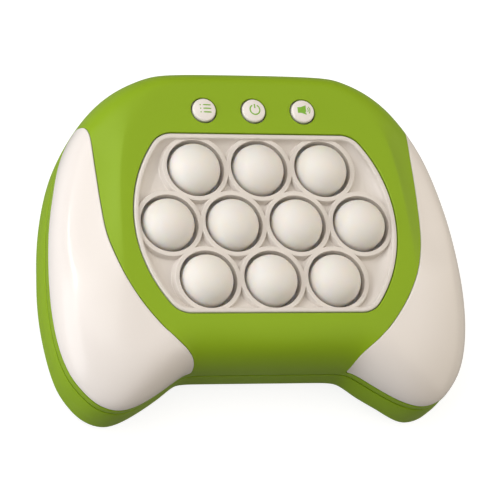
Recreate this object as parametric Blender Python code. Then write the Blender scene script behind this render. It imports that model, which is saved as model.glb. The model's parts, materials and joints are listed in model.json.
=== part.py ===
"""Hand-held electronic bubble pop game, built as its separate pieces.

Frame: the game lies on its back. +Z points out of the face, +Y towards the push buttons, +X to the
right, and the origin is on the back face, in the middle of the outline. All lengths are in metres.
"""

import math

import bmesh
import bpy
import numpy as np
from mathutils import Matrix, Vector

# General clearances
CLEARANCE = 0.0003
SEAM_GAP = 0.0004
OVERRUN = 0.0020
RUNNING_GAP = 0.0006

# Bubble field: rows of three, four and three on a hexagonal layout
BUBBLE_DIAMETER = 0.0163
BUBBLE_GAP = 0.0011
BUBBLE_TRAVEL = 0.0030
BUBBLE_CROWN = 0.0065
BUBBLE_WALL = 0.0013
BUBBLE_SINK = 0.0015
BUBBLE_FLANGE_LAP = 0.00035
PLUNGER_RADIUS = 0.0020
COLLAR_WEB = 0.0024
COLLAR_WALL = 0.00135
COLLAR_RECESS = 0.0010
COLLAR_HEIGHT = 0.0035
ROW_COUNTS = (3, 4, 3)
ROW_PITCH_SHARE = math.sqrt(3) / 2

# Bubble panel and its window in the front casing
END_MARGIN = 0.0025
ROW_MARGIN = 0.00205
WINDOW_CORNER = 0.0082
RIM_WIDTH = 0.0016
COVE_WIDTH = 0.0042
PANEL_FLOOR = 0.0015
PANEL_FLANGE = 0.0022
PANEL_FLANGE_THICKNESS = 0.0015

# Casings
SIDE_BAND = 0.0245
TOP_BAND = 0.0226
GRIP_BAND = 0.0262
FRONT_DEPTH = 0.0175
BACK_DEPTH = 0.0160
WALL = 0.0020
BACK_WALL = 0.0022
LIP_WALL = 0.0009
LIP_HEIGHT = 0.0012
ROLL_BASE = 0.0020
BACK_FILLET = 0.0086
GRIP_FILLET = 0.0046
BACK_BULGE = 0.0005
GRIP_DROP = 0.0080

# Grip covers
COVER_THICKNESS = 0.0016
COVER_STRIP = 0.0025
COVER_PAD = 0.0017
COVER_PAD_WIDTH = 0.0020
PEG_RADIUS = 0.0013
PEG_LENGTH = 0.0060

# Push buttons and their switches
BUTTON_DIAMETER = 0.0079
BUTTON_GAP = 0.00048
BUTTON_PITCH = 0.0163
BUTTON_SETBACK = 0.0074
BUTTON_RISE = 0.0017
BUTTON_CROWN = 0.0009
BUTTON_TRAVEL = 0.0009
BUTTON_FLANGE_LAP = 0.0005
BUTTON_FLANGE_THICKNESS = 0.0008
BUTTON_POST_RADIUS = 0.0020
SWITCH_SIZE = 0.0060
SWITCH_HEIGHT = 0.0034
SWITCH_PLUNGER_RADIUS = 0.0017
SWITCH_PLUNGER_RISE = 0.0013
SWITCH_PLUNGER_DEPTH = 0.0017

# Silicone sheet and circuit board
SHEET_THICKNESS = 0.0010
SHEET_RIM = 0.0020
BOARD_THICKNESS = 0.0016
BOARD_MARGIN = 0.0010
BOARD_SCREW_INSET = 0.0038
CONTACT_RADIUS = 0.0040
CONTACT_HEIGHT = 0.00025
LAMP_LENGTH = 0.0016
LAMP_WIDTH = 0.0010
LAMP_HEIGHT = 0.0006
CHIP_SIZE = 0.0100
CHIP_HEIGHT = 0.0015

# Screws and their bosses
CASING_BOSS_RADIUS = 0.0034
CASING_SCREW_RADIUS = 0.0013
CASING_SCREW_LENGTH = 0.0120
CASING_HEAD_RADIUS = 0.0023
CASING_HEAD_HEIGHT = 0.0016
CASING_SCREW_LEDGE = 0.0022
PILLAR_RADIUS = 0.0038
BOARD_BOSS_RADIUS = 0.0028
BOARD_SCREW_RADIUS = 0.0010
BOARD_SCREW_LENGTH = 0.0070
BOARD_HEAD_RADIUS = 0.0019
BOARD_HEAD_HEIGHT = 0.0013

# Batteries, their bay and its door
CELL_RADIUS = 0.00525
CELL_LENGTH = 0.0445
CELL_NUB_RADIUS = 0.0019
CELL_NUB_LENGTH = 0.0010
CELL_COUNT = 3
CELL_GAP = 0.0005
SPRING_LENGTH = 0.0030
SPRING_WIRE = 0.0003
SPRING_RADIUS = 0.0030
SPRING_TURNS = 2
PLATE_THICKNESS = 0.0005
PLATE_SIZE = 0.0080
BAY_WALL = 0.0015
BAY_CENTRE_SHARE = -0.232
DOOR_THICKNESS = 0.0012
DOOR_LAP = 0.0022
DOOR_STEP = 0.0006
DOOR_BOSS_RADIUS = 0.0036
DOOR_BOSS_HEIGHT = 0.0032
DOOR_SCREW_LENGTH = 0.0060
DOOR_POST_WALL = 0.0013

# Loudspeaker and grille
SPEAKER_RADIUS = 0.0130
SPEAKER_DEPTH = 0.0042
SPEAKER_RIM = 0.0015
MAGNET_RADIUS = 0.0068
MAGNET_HEIGHT = 0.0032
CONE_WALL = 0.0005
CONE_DEPTH = 0.0022
SPEAKER_RING_WALL = 0.0013
SPEAKER_RING_HEIGHT = 0.0030
GRILLE_SLOT = 0.0016
GRILLE_PITCH = 0.0038
GRILLE_SLOTS = 5
GRILLE_RADIUS = 0.0105

# Wires held inside the casing
WIRE_RADIUS = 0.0006
WIRE_SPREAD = 0.0015

# Facets
OUTLINE_POINTS = 48
ROLL_STEPS = 4
BACK_STEPS = 3
INNER_STEPS = 2
COVE_STEPS = 2
WINDOW_STEPS = 4
CORNER_STEPS = 3
SPLIT_STEPS = 2
PATH_STEPS = 24
DOME_STEPS = 4
BUBBLE_SEGMENTS = 12
BORE_SEGMENTS = 12
SMALL_SEGMENTS = 8
SCREW_SEGMENTS = 6
SPRING_SEGMENTS = 6
CELL_SEGMENTS = 12
WIRE_SIDES = 4
SPRING_SIDES = 4
FLAT_ANGLE = 1.8
MERGE_DISTANCE = 0.00001

# Derived sizes
BORE_RADIUS = BUBBLE_DIAMETER / 2 + BUBBLE_GAP
BUBBLE_PITCH = 2 * BORE_RADIUS + COLLAR_WEB
ROW_PITCH = BUBBLE_PITCH * ROW_PITCH_SHARE
COLLAR_RADIUS = BORE_RADIUS + COLLAR_WALL
LONG_ROW_HALF = BUBBLE_PITCH * (max(ROW_COUNTS) - 1) / 2
WINDOW_RADIUS = LONG_ROW_HALF + BORE_RADIUS + END_MARGIN
WINDOW_HALF = ROW_PITCH + BORE_RADIUS + ROW_MARGIN
HALF_WIDTH = WINDOW_RADIUS + SIDE_BAND
HALF_HEIGHT = WINDOW_HALF + (TOP_BAND + GRIP_BAND) / 2
WINDOW_Y = (GRIP_BAND - TOP_BAND) / 2

Z_SEAM = BACK_DEPTH
Z_ROLL = Z_SEAM + ROLL_BASE
Z_FACE = Z_SEAM + FRONT_DEPTH
Z_CEILING = Z_FACE - WALL
Z_COLLAR = Z_FACE - COLLAR_RECESS
Z_FLOOR = Z_COLLAR - COLLAR_HEIGHT
Z_PANEL_UNDER = Z_FLOOR - PANEL_FLOOR
Z_SHEET_TOP = Z_PANEL_UNDER - CLEARANCE
Z_SHEET_UNDER = Z_SHEET_TOP - SHEET_THICKNESS
Z_BOARD_TOP = Z_SHEET_UNDER - BUBBLE_TRAVEL - CLEARANCE
Z_BOARD_UNDER = Z_BOARD_TOP - BOARD_THICKNESS
Z_BUBBLE_BASE = Z_COLLAR - BUBBLE_SINK

BUTTON_ROW = WINDOW_HALF + BUTTON_SETBACK
BUTTON_Y = WINDOW_Y + BUTTON_ROW
BUTTON_HOLE_RADIUS = BUTTON_DIAMETER / 2 + BUTTON_GAP
SHEET_REACH = PANEL_FLANGE - CLEARANCE
BOARD_HALF_WIDTH = WINDOW_RADIUS + PANEL_FLANGE + BOARD_MARGIN
BOARD_HALF_HEIGHT = WINDOW_HALF + PANEL_FLANGE + BOARD_MARGIN
BOARD_TAB_HALF = BUTTON_PITCH + SWITCH_SIZE / 2 + BOARD_MARGIN
BOARD_TAB_TOP = BUTTON_ROW + SWITCH_SIZE / 2 + BOARD_MARGIN
BOARD_SCREW_X = BOARD_HALF_WIDTH - BOARD_SCREW_INSET
BOARD_SCREW_Y = BOARD_HALF_HEIGHT - BOARD_SCREW_INSET

BAY_CENTRE = BAY_CENTRE_SHARE * HALF_HEIGHT
BAY_HALF_LENGTH = (CELL_LENGTH + SPRING_LENGTH) / 2 + CLEARANCE + PLATE_THICKNESS + CLEARANCE
CELL_PITCH = 2 * CELL_RADIUS + CELL_GAP
BAY_HALF_WIDTH = CELL_PITCH * (CELL_COUNT - 1) / 2 + CELL_RADIUS + CELL_GAP
Z_CELL = DOOR_THICKNESS + DOOR_STEP + CLEARANCE + CELL_RADIUS
Z_BAY_CEILING = Z_CELL + CELL_RADIUS + CLEARANCE
DOOR_HALF_LENGTH = BAY_HALF_LENGTH + DOOR_LAP
DOOR_HALF_WIDTH = BAY_HALF_WIDTH + DOOR_LAP
DOOR_SCREW_Y = BAY_CENTRE + DOOR_HALF_WIDTH + DOOR_BOSS_RADIUS - DOOR_LAP / 2
DOOR_POST_RADIUS = DOOR_BOSS_RADIUS + CLEARANCE + DOOR_POST_WALL
DOOR_POST_TOP = DOOR_BOSS_HEIGHT + DOOR_SCREW_LENGTH + OVERRUN
SPEAKER_Y = DOOR_SCREW_Y + DOOR_POST_RADIUS + SPEAKER_RADIUS + RUNNING_GAP
SPEAKER_Z = BACK_WALL + CLEARANCE

# Seam outline, right half from the top middle to the bottom middle: shares of the body's half sizes
SEAM_SHARES = (
    (0.000, 1.000), (0.373, 0.995), (0.500, 0.965), (0.621, 0.896), (0.720, 0.799), (0.806, 0.671),
    (0.873, 0.528), (0.925, 0.346), (0.972, 0.090), (0.994, -0.165), (1.000, -0.401), (0.985, -0.610),
    (0.948, -0.773), (0.892, -0.883), (0.827, -0.963), (0.743, -1.000), (0.654, -0.978), (0.562, -0.918),
    (0.475, -0.848), (0.408, -0.796), (0.354, -0.781), (0.256, -0.779), (0.000, -0.779),
)
# Edge of the flat face at the same stations: shares of the window's half sizes
PLATEAU_SHARES = (
    (0.000, 1.543), (0.508, 1.536), (0.662, 1.484), (0.799, 1.343), (0.894, 1.149), (0.953, 0.917),
    (0.983, 0.657), (1.002, 0.381), (1.012, 0.052), (1.021, -0.311), (1.031, -0.640), (1.040, -0.900),
    (1.045, -1.090), (1.040, -1.204), (1.021, -1.266), (0.986, -1.287), (0.941, -1.273),
    (0.879, -1.218), (0.794, -1.135), (0.700, -1.080), (0.591, -1.055), (0.402, -1.052),
    (0.000, -1.052),
)
# Line between the green face and a grip cover, top to bottom, as shares of the body's half sizes
SPLIT_SHARES = (
    (0.867, 0.781), (0.825, 0.723), (0.793, 0.670), (0.779, 0.612), (0.775, 0.516), (0.773, 0.374),
    (0.771, 0.185), (0.762, -0.004), (0.741, -0.137), (0.702, -0.281), (0.641, -0.428), (0.563, -0.557),
    (0.492, -0.648), (0.440, -0.703), (0.400, -0.746), (0.368, -0.803), (0.339, -0.884),
)
DROOP_START_SHARE = (0.603, -0.345)
DROOP_END_SHARE = (0.821, -0.941)
FACE_RING_SHARES = (0.82, 0.60)
TURN_SHARE = 0.35
ROLL_SHARE = 0.833
CASING_SCREW_Y_SHARES = (0.821, 0.126, -0.687)
GRIP_SCREW_X_SHARE = 0.741
PEG_SHARES = ((0.848, 0.325), (0.791, -0.493))
LAMP_PLACE_SHARE = 0.5
SPRING_TAPER_SHARE = 0.25
CHIP_PLACE_SHARES = (-0.22, -0.18)

GREEN = (0.253, 0.413, 0.026)
CREAM = (0.791, 0.745, 0.686)
PANEL_CREAM = (0.638, 0.584, 0.512)
SILICONE = (0.672, 0.617, 0.552)
BOARD_GREEN = (0.014, 0.107, 0.038)
DARK = (0.022, 0.022, 0.024)
STEEL = (0.560, 0.570, 0.580)
CELL_BLUE = (0.050, 0.120, 0.300)
RED = (0.450, 0.030, 0.025)


# Helpers

def clear_scene():
    for old in list(bpy.data.objects):
        bpy.data.objects.remove(old)


def make_material(name, colour, roughness, metallic):
    material = bpy.data.materials.new(name)
    material.use_nodes = True
    shader = material.node_tree.nodes["Principled BSDF"]
    shader.inputs["Base Color"].default_value = (*colour, 1.0)
    shader.inputs["Roughness"].default_value = roughness
    shader.inputs["Metallic"].default_value = metallic
    return material


def object_from(bm, name):
    """Turns a bmesh of closed bodies into an object with its faces pointing out."""
    bmesh.ops.recalc_face_normals(bm, faces=bm.faces)
    mesh = bpy.data.meshes.new(name)
    bm.to_mesh(mesh)
    bm.free()
    piece = bpy.data.objects.new(name, mesh)
    bpy.context.scene.collection.objects.link(piece)
    return piece


def finish(piece, colour, roughness, metallic=0.0, origin=None):
    """Gives a piece its own material and, for a moving piece, an origin on its joint's axis."""
    tidy_flats(piece)
    piece.data.materials.clear()
    piece.data.materials.append(make_material(piece.name, colour, roughness, metallic))
    piece.data.shade_smooth()
    piece.data.set_sharp_from_angle(angle=math.radians(35))
    if origin is not None:
        piece.data.transform(Matrix.Translation(-Vector(origin)))
        piece.location = origin
    return piece


def combine(target, other, operation):
    """Applies one Boolean to target and removes the other object."""
    modifier = target.modifiers.new("combine", "BOOLEAN")
    modifier.operation = operation
    modifier.solver = "EXACT"
    modifier.object = other
    graph = bpy.context.evaluated_depsgraph_get()
    mesh = bpy.data.meshes.new_from_object(target.evaluated_get(graph))
    target.modifiers.clear()
    old = target.data
    target.data = mesh
    bpy.data.meshes.remove(old)
    bpy.data.objects.remove(other)
    return target


def tidy_flats(piece):
    """Merges neighbouring faces that lie in one plane, so that a flat face keeps few triangles."""
    bm = bmesh.new()
    bm.from_mesh(piece.data)
    bmesh.ops.remove_doubles(bm, verts=bm.verts, dist=MERGE_DISTANCE)
    bmesh.ops.dissolve_limit(bm, angle_limit=math.radians(FLAT_ANGLE), verts=bm.verts, edges=bm.edges)
    bmesh.ops.triangulate(bm, faces=bm.faces)
    bmesh.ops.recalc_face_normals(bm, faces=bm.faces)
    bm.to_mesh(piece.data)
    bm.free()
    return piece


def cut(target, *cutters):
    for cutter in cutters:
        combine(target, cutter, "DIFFERENCE")
    return target


def join(target, *others):
    for other in others:
        combine(target, other, "UNION")
    return target


def keep_common(target, other):
    return combine(target, other, "INTERSECT")


def loft(name, rings):
    """A closed solid through rings of (x, y, z) points that all have the same count."""
    bm = bmesh.new()
    rows = [[bm.verts.new(point) for point in ring] for ring in rings]
    count = len(rows[0])
    for lower, upper in zip(rows, rows[1:]):
        for i in range(count):
            j = (i + 1) % count
            bm.faces.new((lower[i], lower[j], upper[j], upper[i]))
    bm.faces.new(rows[0][::-1])
    bm.faces.new(rows[-1])
    return object_from(bm, name)


def at_height(ring, z):
    return [(x, y, z) for x, y in ring]


def prism(name, ring, low, high):
    return loft(name, [at_height(ring, low), at_height(ring, high)])


def box(name, centre, half):
    x, y = half[0], half[1]
    ring = [(centre[0] + sx * x, centre[1] + sy * y) for sx, sy in ((-1, -1), (1, -1), (1, 1), (-1, 1))]
    return prism(name, ring, centre[2] - half[2], centre[2] + half[2])


def circle(radius, segments, centre=(0.0, 0.0)):
    turns = [2 * math.pi * i / segments for i in range(segments)]
    return [(centre[0] + radius * math.cos(a), centre[1] + radius * math.sin(a)) for a in turns]


def cylinder(name, radius, low, high, centre, segments=SMALL_SEGMENTS):
    return prism(name, circle(radius, segments, centre), low, high)


def turned(name, profile, centre, segments, along_x=False):
    """A solid of revolution: profile points are (radius, height) from the axis round to the axis."""
    bm = bmesh.new()
    rows = []
    for radius, height in profile:
        steps = 1 if radius == 0 else segments
        row = []
        for x, y in circle(radius, steps):
            place = (height, x, y) if along_x else (x, y, height)
            row.append(bm.verts.new(Vector(place) + Vector(centre)))
        rows.append(row)
    for upper, lower in zip(rows, rows[1:]):
        for i in range(segments):
            j = (i + 1) % segments
            corners = [upper[i % len(upper)], lower[i % len(lower)],
                       lower[j % len(lower)], upper[j % len(upper)]]
            bm.faces.new(list(dict.fromkeys(corners)))
    return object_from(bm, name)


def tube(name, route, radius, sides):
    """A capped tube along a route of points."""
    points = [Vector(point) for point in route]
    bm = bmesh.new()
    rows = []
    across = None
    for i, point in enumerate(points):
        ahead = (points[min(i + 1, len(points) - 1)] - points[max(i - 1, 0)]).normalized()
        start = across if across is not None else ahead.orthogonal()
        across = (start - ahead * start.dot(ahead)).normalized()
        other = ahead.cross(across)
        angles = [2 * math.pi * k / sides for k in range(sides)]
        spokes = [radius * (math.cos(a) * across + math.sin(a) * other) for a in angles]
        rows.append([bm.verts.new(point + spoke) for spoke in spokes])
    for lower, upper in zip(rows, rows[1:]):
        for i in range(sides):
            j = (i + 1) % sides
            bm.faces.new((lower[i], lower[j], upper[j], upper[i]))
    bm.faces.new(rows[0][::-1])
    bm.faces.new(rows[-1])
    return object_from(bm, name)


def smooth_path(points, steps):
    """Points on a smooth curve through the given points, steps to a span, both ends included."""
    p = np.array(points, dtype=float)
    ends = np.vstack([2 * p[0] - p[1], p, 2 * p[-1] - p[-2]])
    path = []
    for i in range(len(p) - 1):
        a, b, c, d = ends[i:i + 4]
        for t in np.linspace(0, 1, steps, endpoint=False):
            path.append(0.5 * (2 * b + (c - a) * t + (2 * a - 5 * b + 4 * c - d) * t ** 2
                               + (3 * b - a - 3 * c + d) * t ** 3))
    path.append(p[-1])
    return np.array(path)


def group(name, pieces):
    """Puts several cutters or posts into one object, so that one Boolean serves them all."""
    bm = bmesh.new()
    for piece in pieces:
        bm.from_mesh(piece.data)
        bpy.data.objects.remove(piece)
    return object_from(bm, name)


# Outlines of the body

def scaled(shares, half_x, half_y, centre_y):
    return np.array([(x * half_x, y * half_y + centre_y) for x, y in shares])


def closed_half(points):
    """Mirrors a right-hand half outline, top to bottom, into a closed anticlockwise ring."""
    left = points[1:-1][::-1] * np.array([-1.0, 1.0])
    return np.vstack([points, left])[::-1]


def body_rings():
    """The seam outline and the edge of the flat face, with matching points."""
    seam = smooth_path(scaled(SEAM_SHARES, HALF_WIDTH, HALF_HEIGHT, 0.0), PATH_STEPS)
    plateau = smooth_path(scaled(PLATEAU_SHARES, WINDOW_RADIUS, WINDOW_HALF, WINDOW_Y), PATH_STEPS)
    step = np.diff(seam, axis=0)
    heading = np.unwrap(np.arctan2(step[:, 1], step[:, 0]))
    turn = np.abs(np.diff(heading, prepend=heading[0]))
    length = np.hypot(step[:, 0], step[:, 1]) / np.hypot(step[:, 0], step[:, 1]).sum()
    weight = length + TURN_SHARE * turn / turn.sum()
    travelled = np.concatenate([[0.0], np.cumsum(weight)])
    wanted = np.linspace(0, travelled[-1], OUTLINE_POINTS // 2 + 1)
    rings = []
    for half in (seam, plateau):
        x = np.interp(wanted, travelled, half[:, 0])
        y = np.interp(wanted, travelled, half[:, 1])
        rings.append(closed_half(np.column_stack([x, y])))
    return rings


def inset_ring(ring, distance):
    """Moves a closed anticlockwise ring inwards by a distance, mitred at its corners."""
    before = ring - np.roll(ring, 1, axis=0)
    after = np.roll(ring, -1, axis=0) - ring
    normals = []
    for a, b in zip(before, after):
        na = np.array([-a[1], a[0]]) / np.hypot(*a)
        nb = np.array([-b[1], b[0]]) / np.hypot(*b)
        normals.append((na + nb) / (1 + na.dot(nb)))
    return ring + distance * np.array(normals)


def grip_share(x, y):
    """How far along a grip a point lies: nothing where the grip starts, one at its end."""
    start = np.array(DROOP_START_SHARE) * (HALF_WIDTH, HALF_HEIGHT)
    along = np.array(DROOP_END_SHARE) * (HALF_WIDTH, HALF_HEIGHT) - start
    return max(np.dot(np.array([abs(x), y]) - start, along) / along.dot(along), 0.0)


def droop(x, y):
    """How far the face falls away towards the end of a grip."""
    return GRIP_DROP * grip_share(x, y) ** 2


def back_fillet(x, y):
    """The rounding of the back's edge, which is tighter round the ends of the grips."""
    return BACK_FILLET + (GRIP_FILLET - BACK_FILLET) * min(grip_share(x, y), 1.0)


def front_form(name, depth, low, steps=ROLL_STEPS):
    """The front of the body as a solid, set in by depth from the outer surface, from height low."""
    seam, plateau = body_rings()
    foot = inset_ring(seam, depth)
    rings = [at_height(foot, low), at_height(foot, Z_ROLL)]
    rise = Z_FACE - depth - Z_ROLL
    for k in range(1, steps + 1):
        turn = math.pi / 2 * k / steps
        out, up = math.cos(turn) ** ROLL_SHARE, math.sin(turn) ** ROLL_SHARE
        plan = plateau + (foot - plateau) * out
        rings.append([(x, y, Z_ROLL + (rise - droop(x, y)) * up) for x, y in plan])
    middle = np.array([0.0, WINDOW_Y])
    for share in FACE_RING_SHARES:
        plan = middle + (plateau - middle) * share
        rings.append([(x, y, Z_ROLL + rise - droop(x, y)) for x, y in plan])
    return loft(name, rings)


def back_form(name, depth, low, top_rings, steps=BACK_STEPS):
    """The back of the body as a solid, set in by depth, standing on height low."""
    seam, plateau = body_rings()
    foot = inset_ring(seam, depth)
    inward = plateau - foot
    inward /= np.hypot(inward[:, 0], inward[:, 1])[:, None]
    fillet = np.array([back_fillet(x, y) for x, y in seam])
    rings = []
    for k in range(steps):
        turn = math.pi / 2 * k / (steps - 1)
        reach = fillet * (1 - math.sin(turn)) - BACK_BULGE * math.sin(turn)
        plan = foot + inward * reach[:, None]
        rings.append([(x, y, low + r * (1 - math.cos(turn))) for (x, y), r in zip(plan, fillet)])
    waist = (BACK_FILLET + Z_SEAM) / 2
    rings.append(at_height(foot - inward * BACK_BULGE, waist))
    for inset, height in top_rings:
        rings.append(at_height(inset_ring(seam, inset), height))
    return loft(name, rings)


def window_ring(inset):
    """The window: a circle cut by a flat above and below, with rounded corners, set in by inset."""
    radius = WINDOW_RADIUS - WINDOW_CORNER
    centre_y = WINDOW_HALF - WINDOW_CORNER
    centre_x = math.sqrt(radius ** 2 - centre_y ** 2)
    corner_turn = math.atan2(centre_y, centre_x)
    corner_radius = WINDOW_CORNER - inset
    side_radius = WINDOW_RADIUS - inset
    quarter = []
    for turn in np.linspace(0, corner_turn, WINDOW_STEPS, endpoint=False):
        quarter.append((side_radius * math.cos(turn), side_radius * math.sin(turn)))
    for turn in np.linspace(corner_turn, math.pi / 2, CORNER_STEPS):
        quarter.append((centre_x + corner_radius * math.cos(turn),
                        centre_y + corner_radius * math.sin(turn)))
    first = np.array(quarter)
    second = first[::-1] * (-1, 1)
    ring = np.vstack([first, second[:-1], -first, -second[:-1]])
    return ring + (0.0, WINDOW_Y)


def cover_ring(side, grow):
    """Plan of the region under a grip cover, grown towards the middle of the body."""
    path = smooth_path(scaled(SPLIT_SHARES, HALF_WIDTH, HALF_HEIGHT, 0.0), SPLIT_STEPS)
    ahead = np.gradient(path, axis=0)
    ahead /= np.hypot(ahead[:, 0], ahead[:, 1])[:, None]
    inner = path + grow * np.column_stack([ahead[:, 1], -ahead[:, 0]])
    far_x = HALF_WIDTH + SIDE_BAND
    far_y = HALF_HEIGHT + SIDE_BAND
    outer = np.array([(inner[-1][0], -far_y), (far_x, -far_y), (far_x, inner[0][1])])
    ring = np.vstack([inner, outer])
    return ring * (1, 1) if side > 0 else (ring * (-1, 1))[::-1]


def bubble_places():
    places = []
    for row, count in enumerate(ROW_COUNTS):
        y = WINDOW_Y + ROW_PITCH * ((len(ROW_COUNTS) - 1) / 2 - row)
        for i in range(count):
            places.append((BUBBLE_PITCH * (i - (count - 1) / 2), y))
    return places


def button_places():
    return [(BUTTON_PITCH * i, BUTTON_Y) for i in (-1, 0, 1)]


def casing_screw_places():
    places = []
    beside_tab = BOARD_TAB_HALF + PILLAR_RADIUS + RUNNING_GAP
    beside_board = BOARD_HALF_WIDTH + PILLAR_RADIUS + RUNNING_GAP
    across = (beside_tab, beside_board, GRIP_SCREW_X_SHARE * HALF_WIDTH)
    for x, share in zip(across, CASING_SCREW_Y_SHARES):
        places += [(-x, share * HALF_HEIGHT), (x, share * HALF_HEIGHT)]
    return places


def board_screw_places():
    return [(sx * BOARD_SCREW_X, WINDOW_Y + sy * BOARD_SCREW_Y) for sx in (-1, 1) for sy in (-1, 1)]


def peg_places(side):
    return [(side * x * HALF_WIDTH, y * HALF_HEIGHT) for x, y in PEG_SHARES]


# Casings and covers

def front_casing():
    casing = front_form("front_casing", 0.0, Z_SEAM)

    cavity = front_form("cavity", WALL, Z_SEAM - OVERRUN, INNER_STEPS)
    cover_depth = COVER_THICKNESS + CLEARANCE
    for side in (-1, 1):
        pad = prism("pad", cover_ring(side, COVER_PAD_WIDTH), Z_SEAM - 2 * OVERRUN, Z_FACE + OVERRUN)
        cut(pad, front_form("pad_floor", cover_depth + COVER_PAD, Z_SEAM - 3 * OVERRUN, INNER_STEPS))
        cut(cavity, pad)
    cut(casing, cavity)
    cut(casing, prism("pocket", window_ring(-PANEL_FLANGE - CLEARANCE), Z_SEAM - OVERRUN, Z_CEILING))

    bosses = [cylinder("boss", CASING_BOSS_RADIUS, Z_SEAM, Z_FACE + OVERRUN, place)
              for place in casing_screw_places()]
    bosses += [cylinder("boss", BOARD_BOSS_RADIUS, Z_BOARD_TOP + CLEARANCE, Z_FACE + OVERRUN, place)
               for place in board_screw_places()]
    posts = group("posts", bosses)
    keep_common(posts, front_form("limit", WALL / 2, Z_SEAM - OVERRUN, INNER_STEPS))
    join(casing, posts)

    for side in (-1, 1):
        recess = prism("recess", cover_ring(side, CLEARANCE), Z_SEAM + COVER_STRIP, Z_FACE + OVERRUN)
        cut(recess, front_form("recess_floor", cover_depth, Z_SEAM - OVERRUN))
        cut(casing, recess)
        holes = [cylinder("hole", PEG_RADIUS + CLEARANCE, Z_SEAM + COVER_STRIP, Z_FACE + OVERRUN, place)
                 for place in peg_places(side)]
        cut(casing, group("holes", holes))

    seam = body_rings()[0]
    rebate = prism("rebate", inset_ring(seam, BACK_WALL - LIP_WALL - CLEARANCE),
                   Z_SEAM - OVERRUN, Z_SEAM + LIP_HEIGHT + CLEARANCE)
    core = [cylinder("core", CASING_BOSS_RADIUS + CLEARANCE, Z_SEAM - 2 * OVERRUN, Z_FACE, place)
            for place in casing_screw_places()]
    cut(rebate, group("core", core))
    cut(casing, rebate)

    cut(casing, prism("window", window_ring(0.0), Z_CEILING - OVERRUN, Z_FACE + OVERRUN))
    holes = [cylinder("hole", BUTTON_HOLE_RADIUS, Z_CEILING - OVERRUN, Z_FACE + OVERRUN, place,
                      BORE_SEGMENTS) for place in button_places()]
    holes += [cylinder("hole", CASING_SCREW_RADIUS + CLEARANCE, Z_SEAM - OVERRUN,
                       Z_SEAM + CASING_SCREW_LENGTH, place) for place in casing_screw_places()]
    holes += [cylinder("hole", BOARD_SCREW_RADIUS + CLEARANCE, Z_BOARD_TOP - OVERRUN,
                       Z_BOARD_TOP + BOARD_SCREW_LENGTH, place) for place in board_screw_places()]
    cut(casing, group("holes", holes))
    return finish(casing, GREEN, 0.38)


def grip_cover(name, mirrored):
    """The left cover, or its mirror image for the right grip."""
    side = -1
    cover = front_form(name, 0.0, Z_SEAM)
    region = prism("region", cover_ring(side, 0.0), Z_SEAM + COVER_STRIP + CLEARANCE, Z_FACE + OVERRUN)
    keep_common(cover, region)
    cut(cover, front_form("inside", COVER_THICKNESS, Z_SEAM - OVERRUN))
    cover.name = name
    for place in peg_places(side):
        peg = cylinder("peg", PEG_RADIUS, Z_SEAM, Z_FACE + OVERRUN, place)
        keep_common(peg, front_form("limit", COVER_THICKNESS / 2, Z_SEAM - OVERRUN))
        top = max(vertex.co.z for vertex in peg.data.vertices)
        span = HALF_WIDTH
        below = top - COVER_THICKNESS - PEG_LENGTH
        cut(peg, box("trim", (place[0], place[1], below - span), (span, span, span)))
        join(cover, peg)
    if mirrored:
        cover.data.transform(Matrix.Scale(-1, 4, (1, 0, 0)))
    return finish(cover, CREAM, 0.18)


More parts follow.
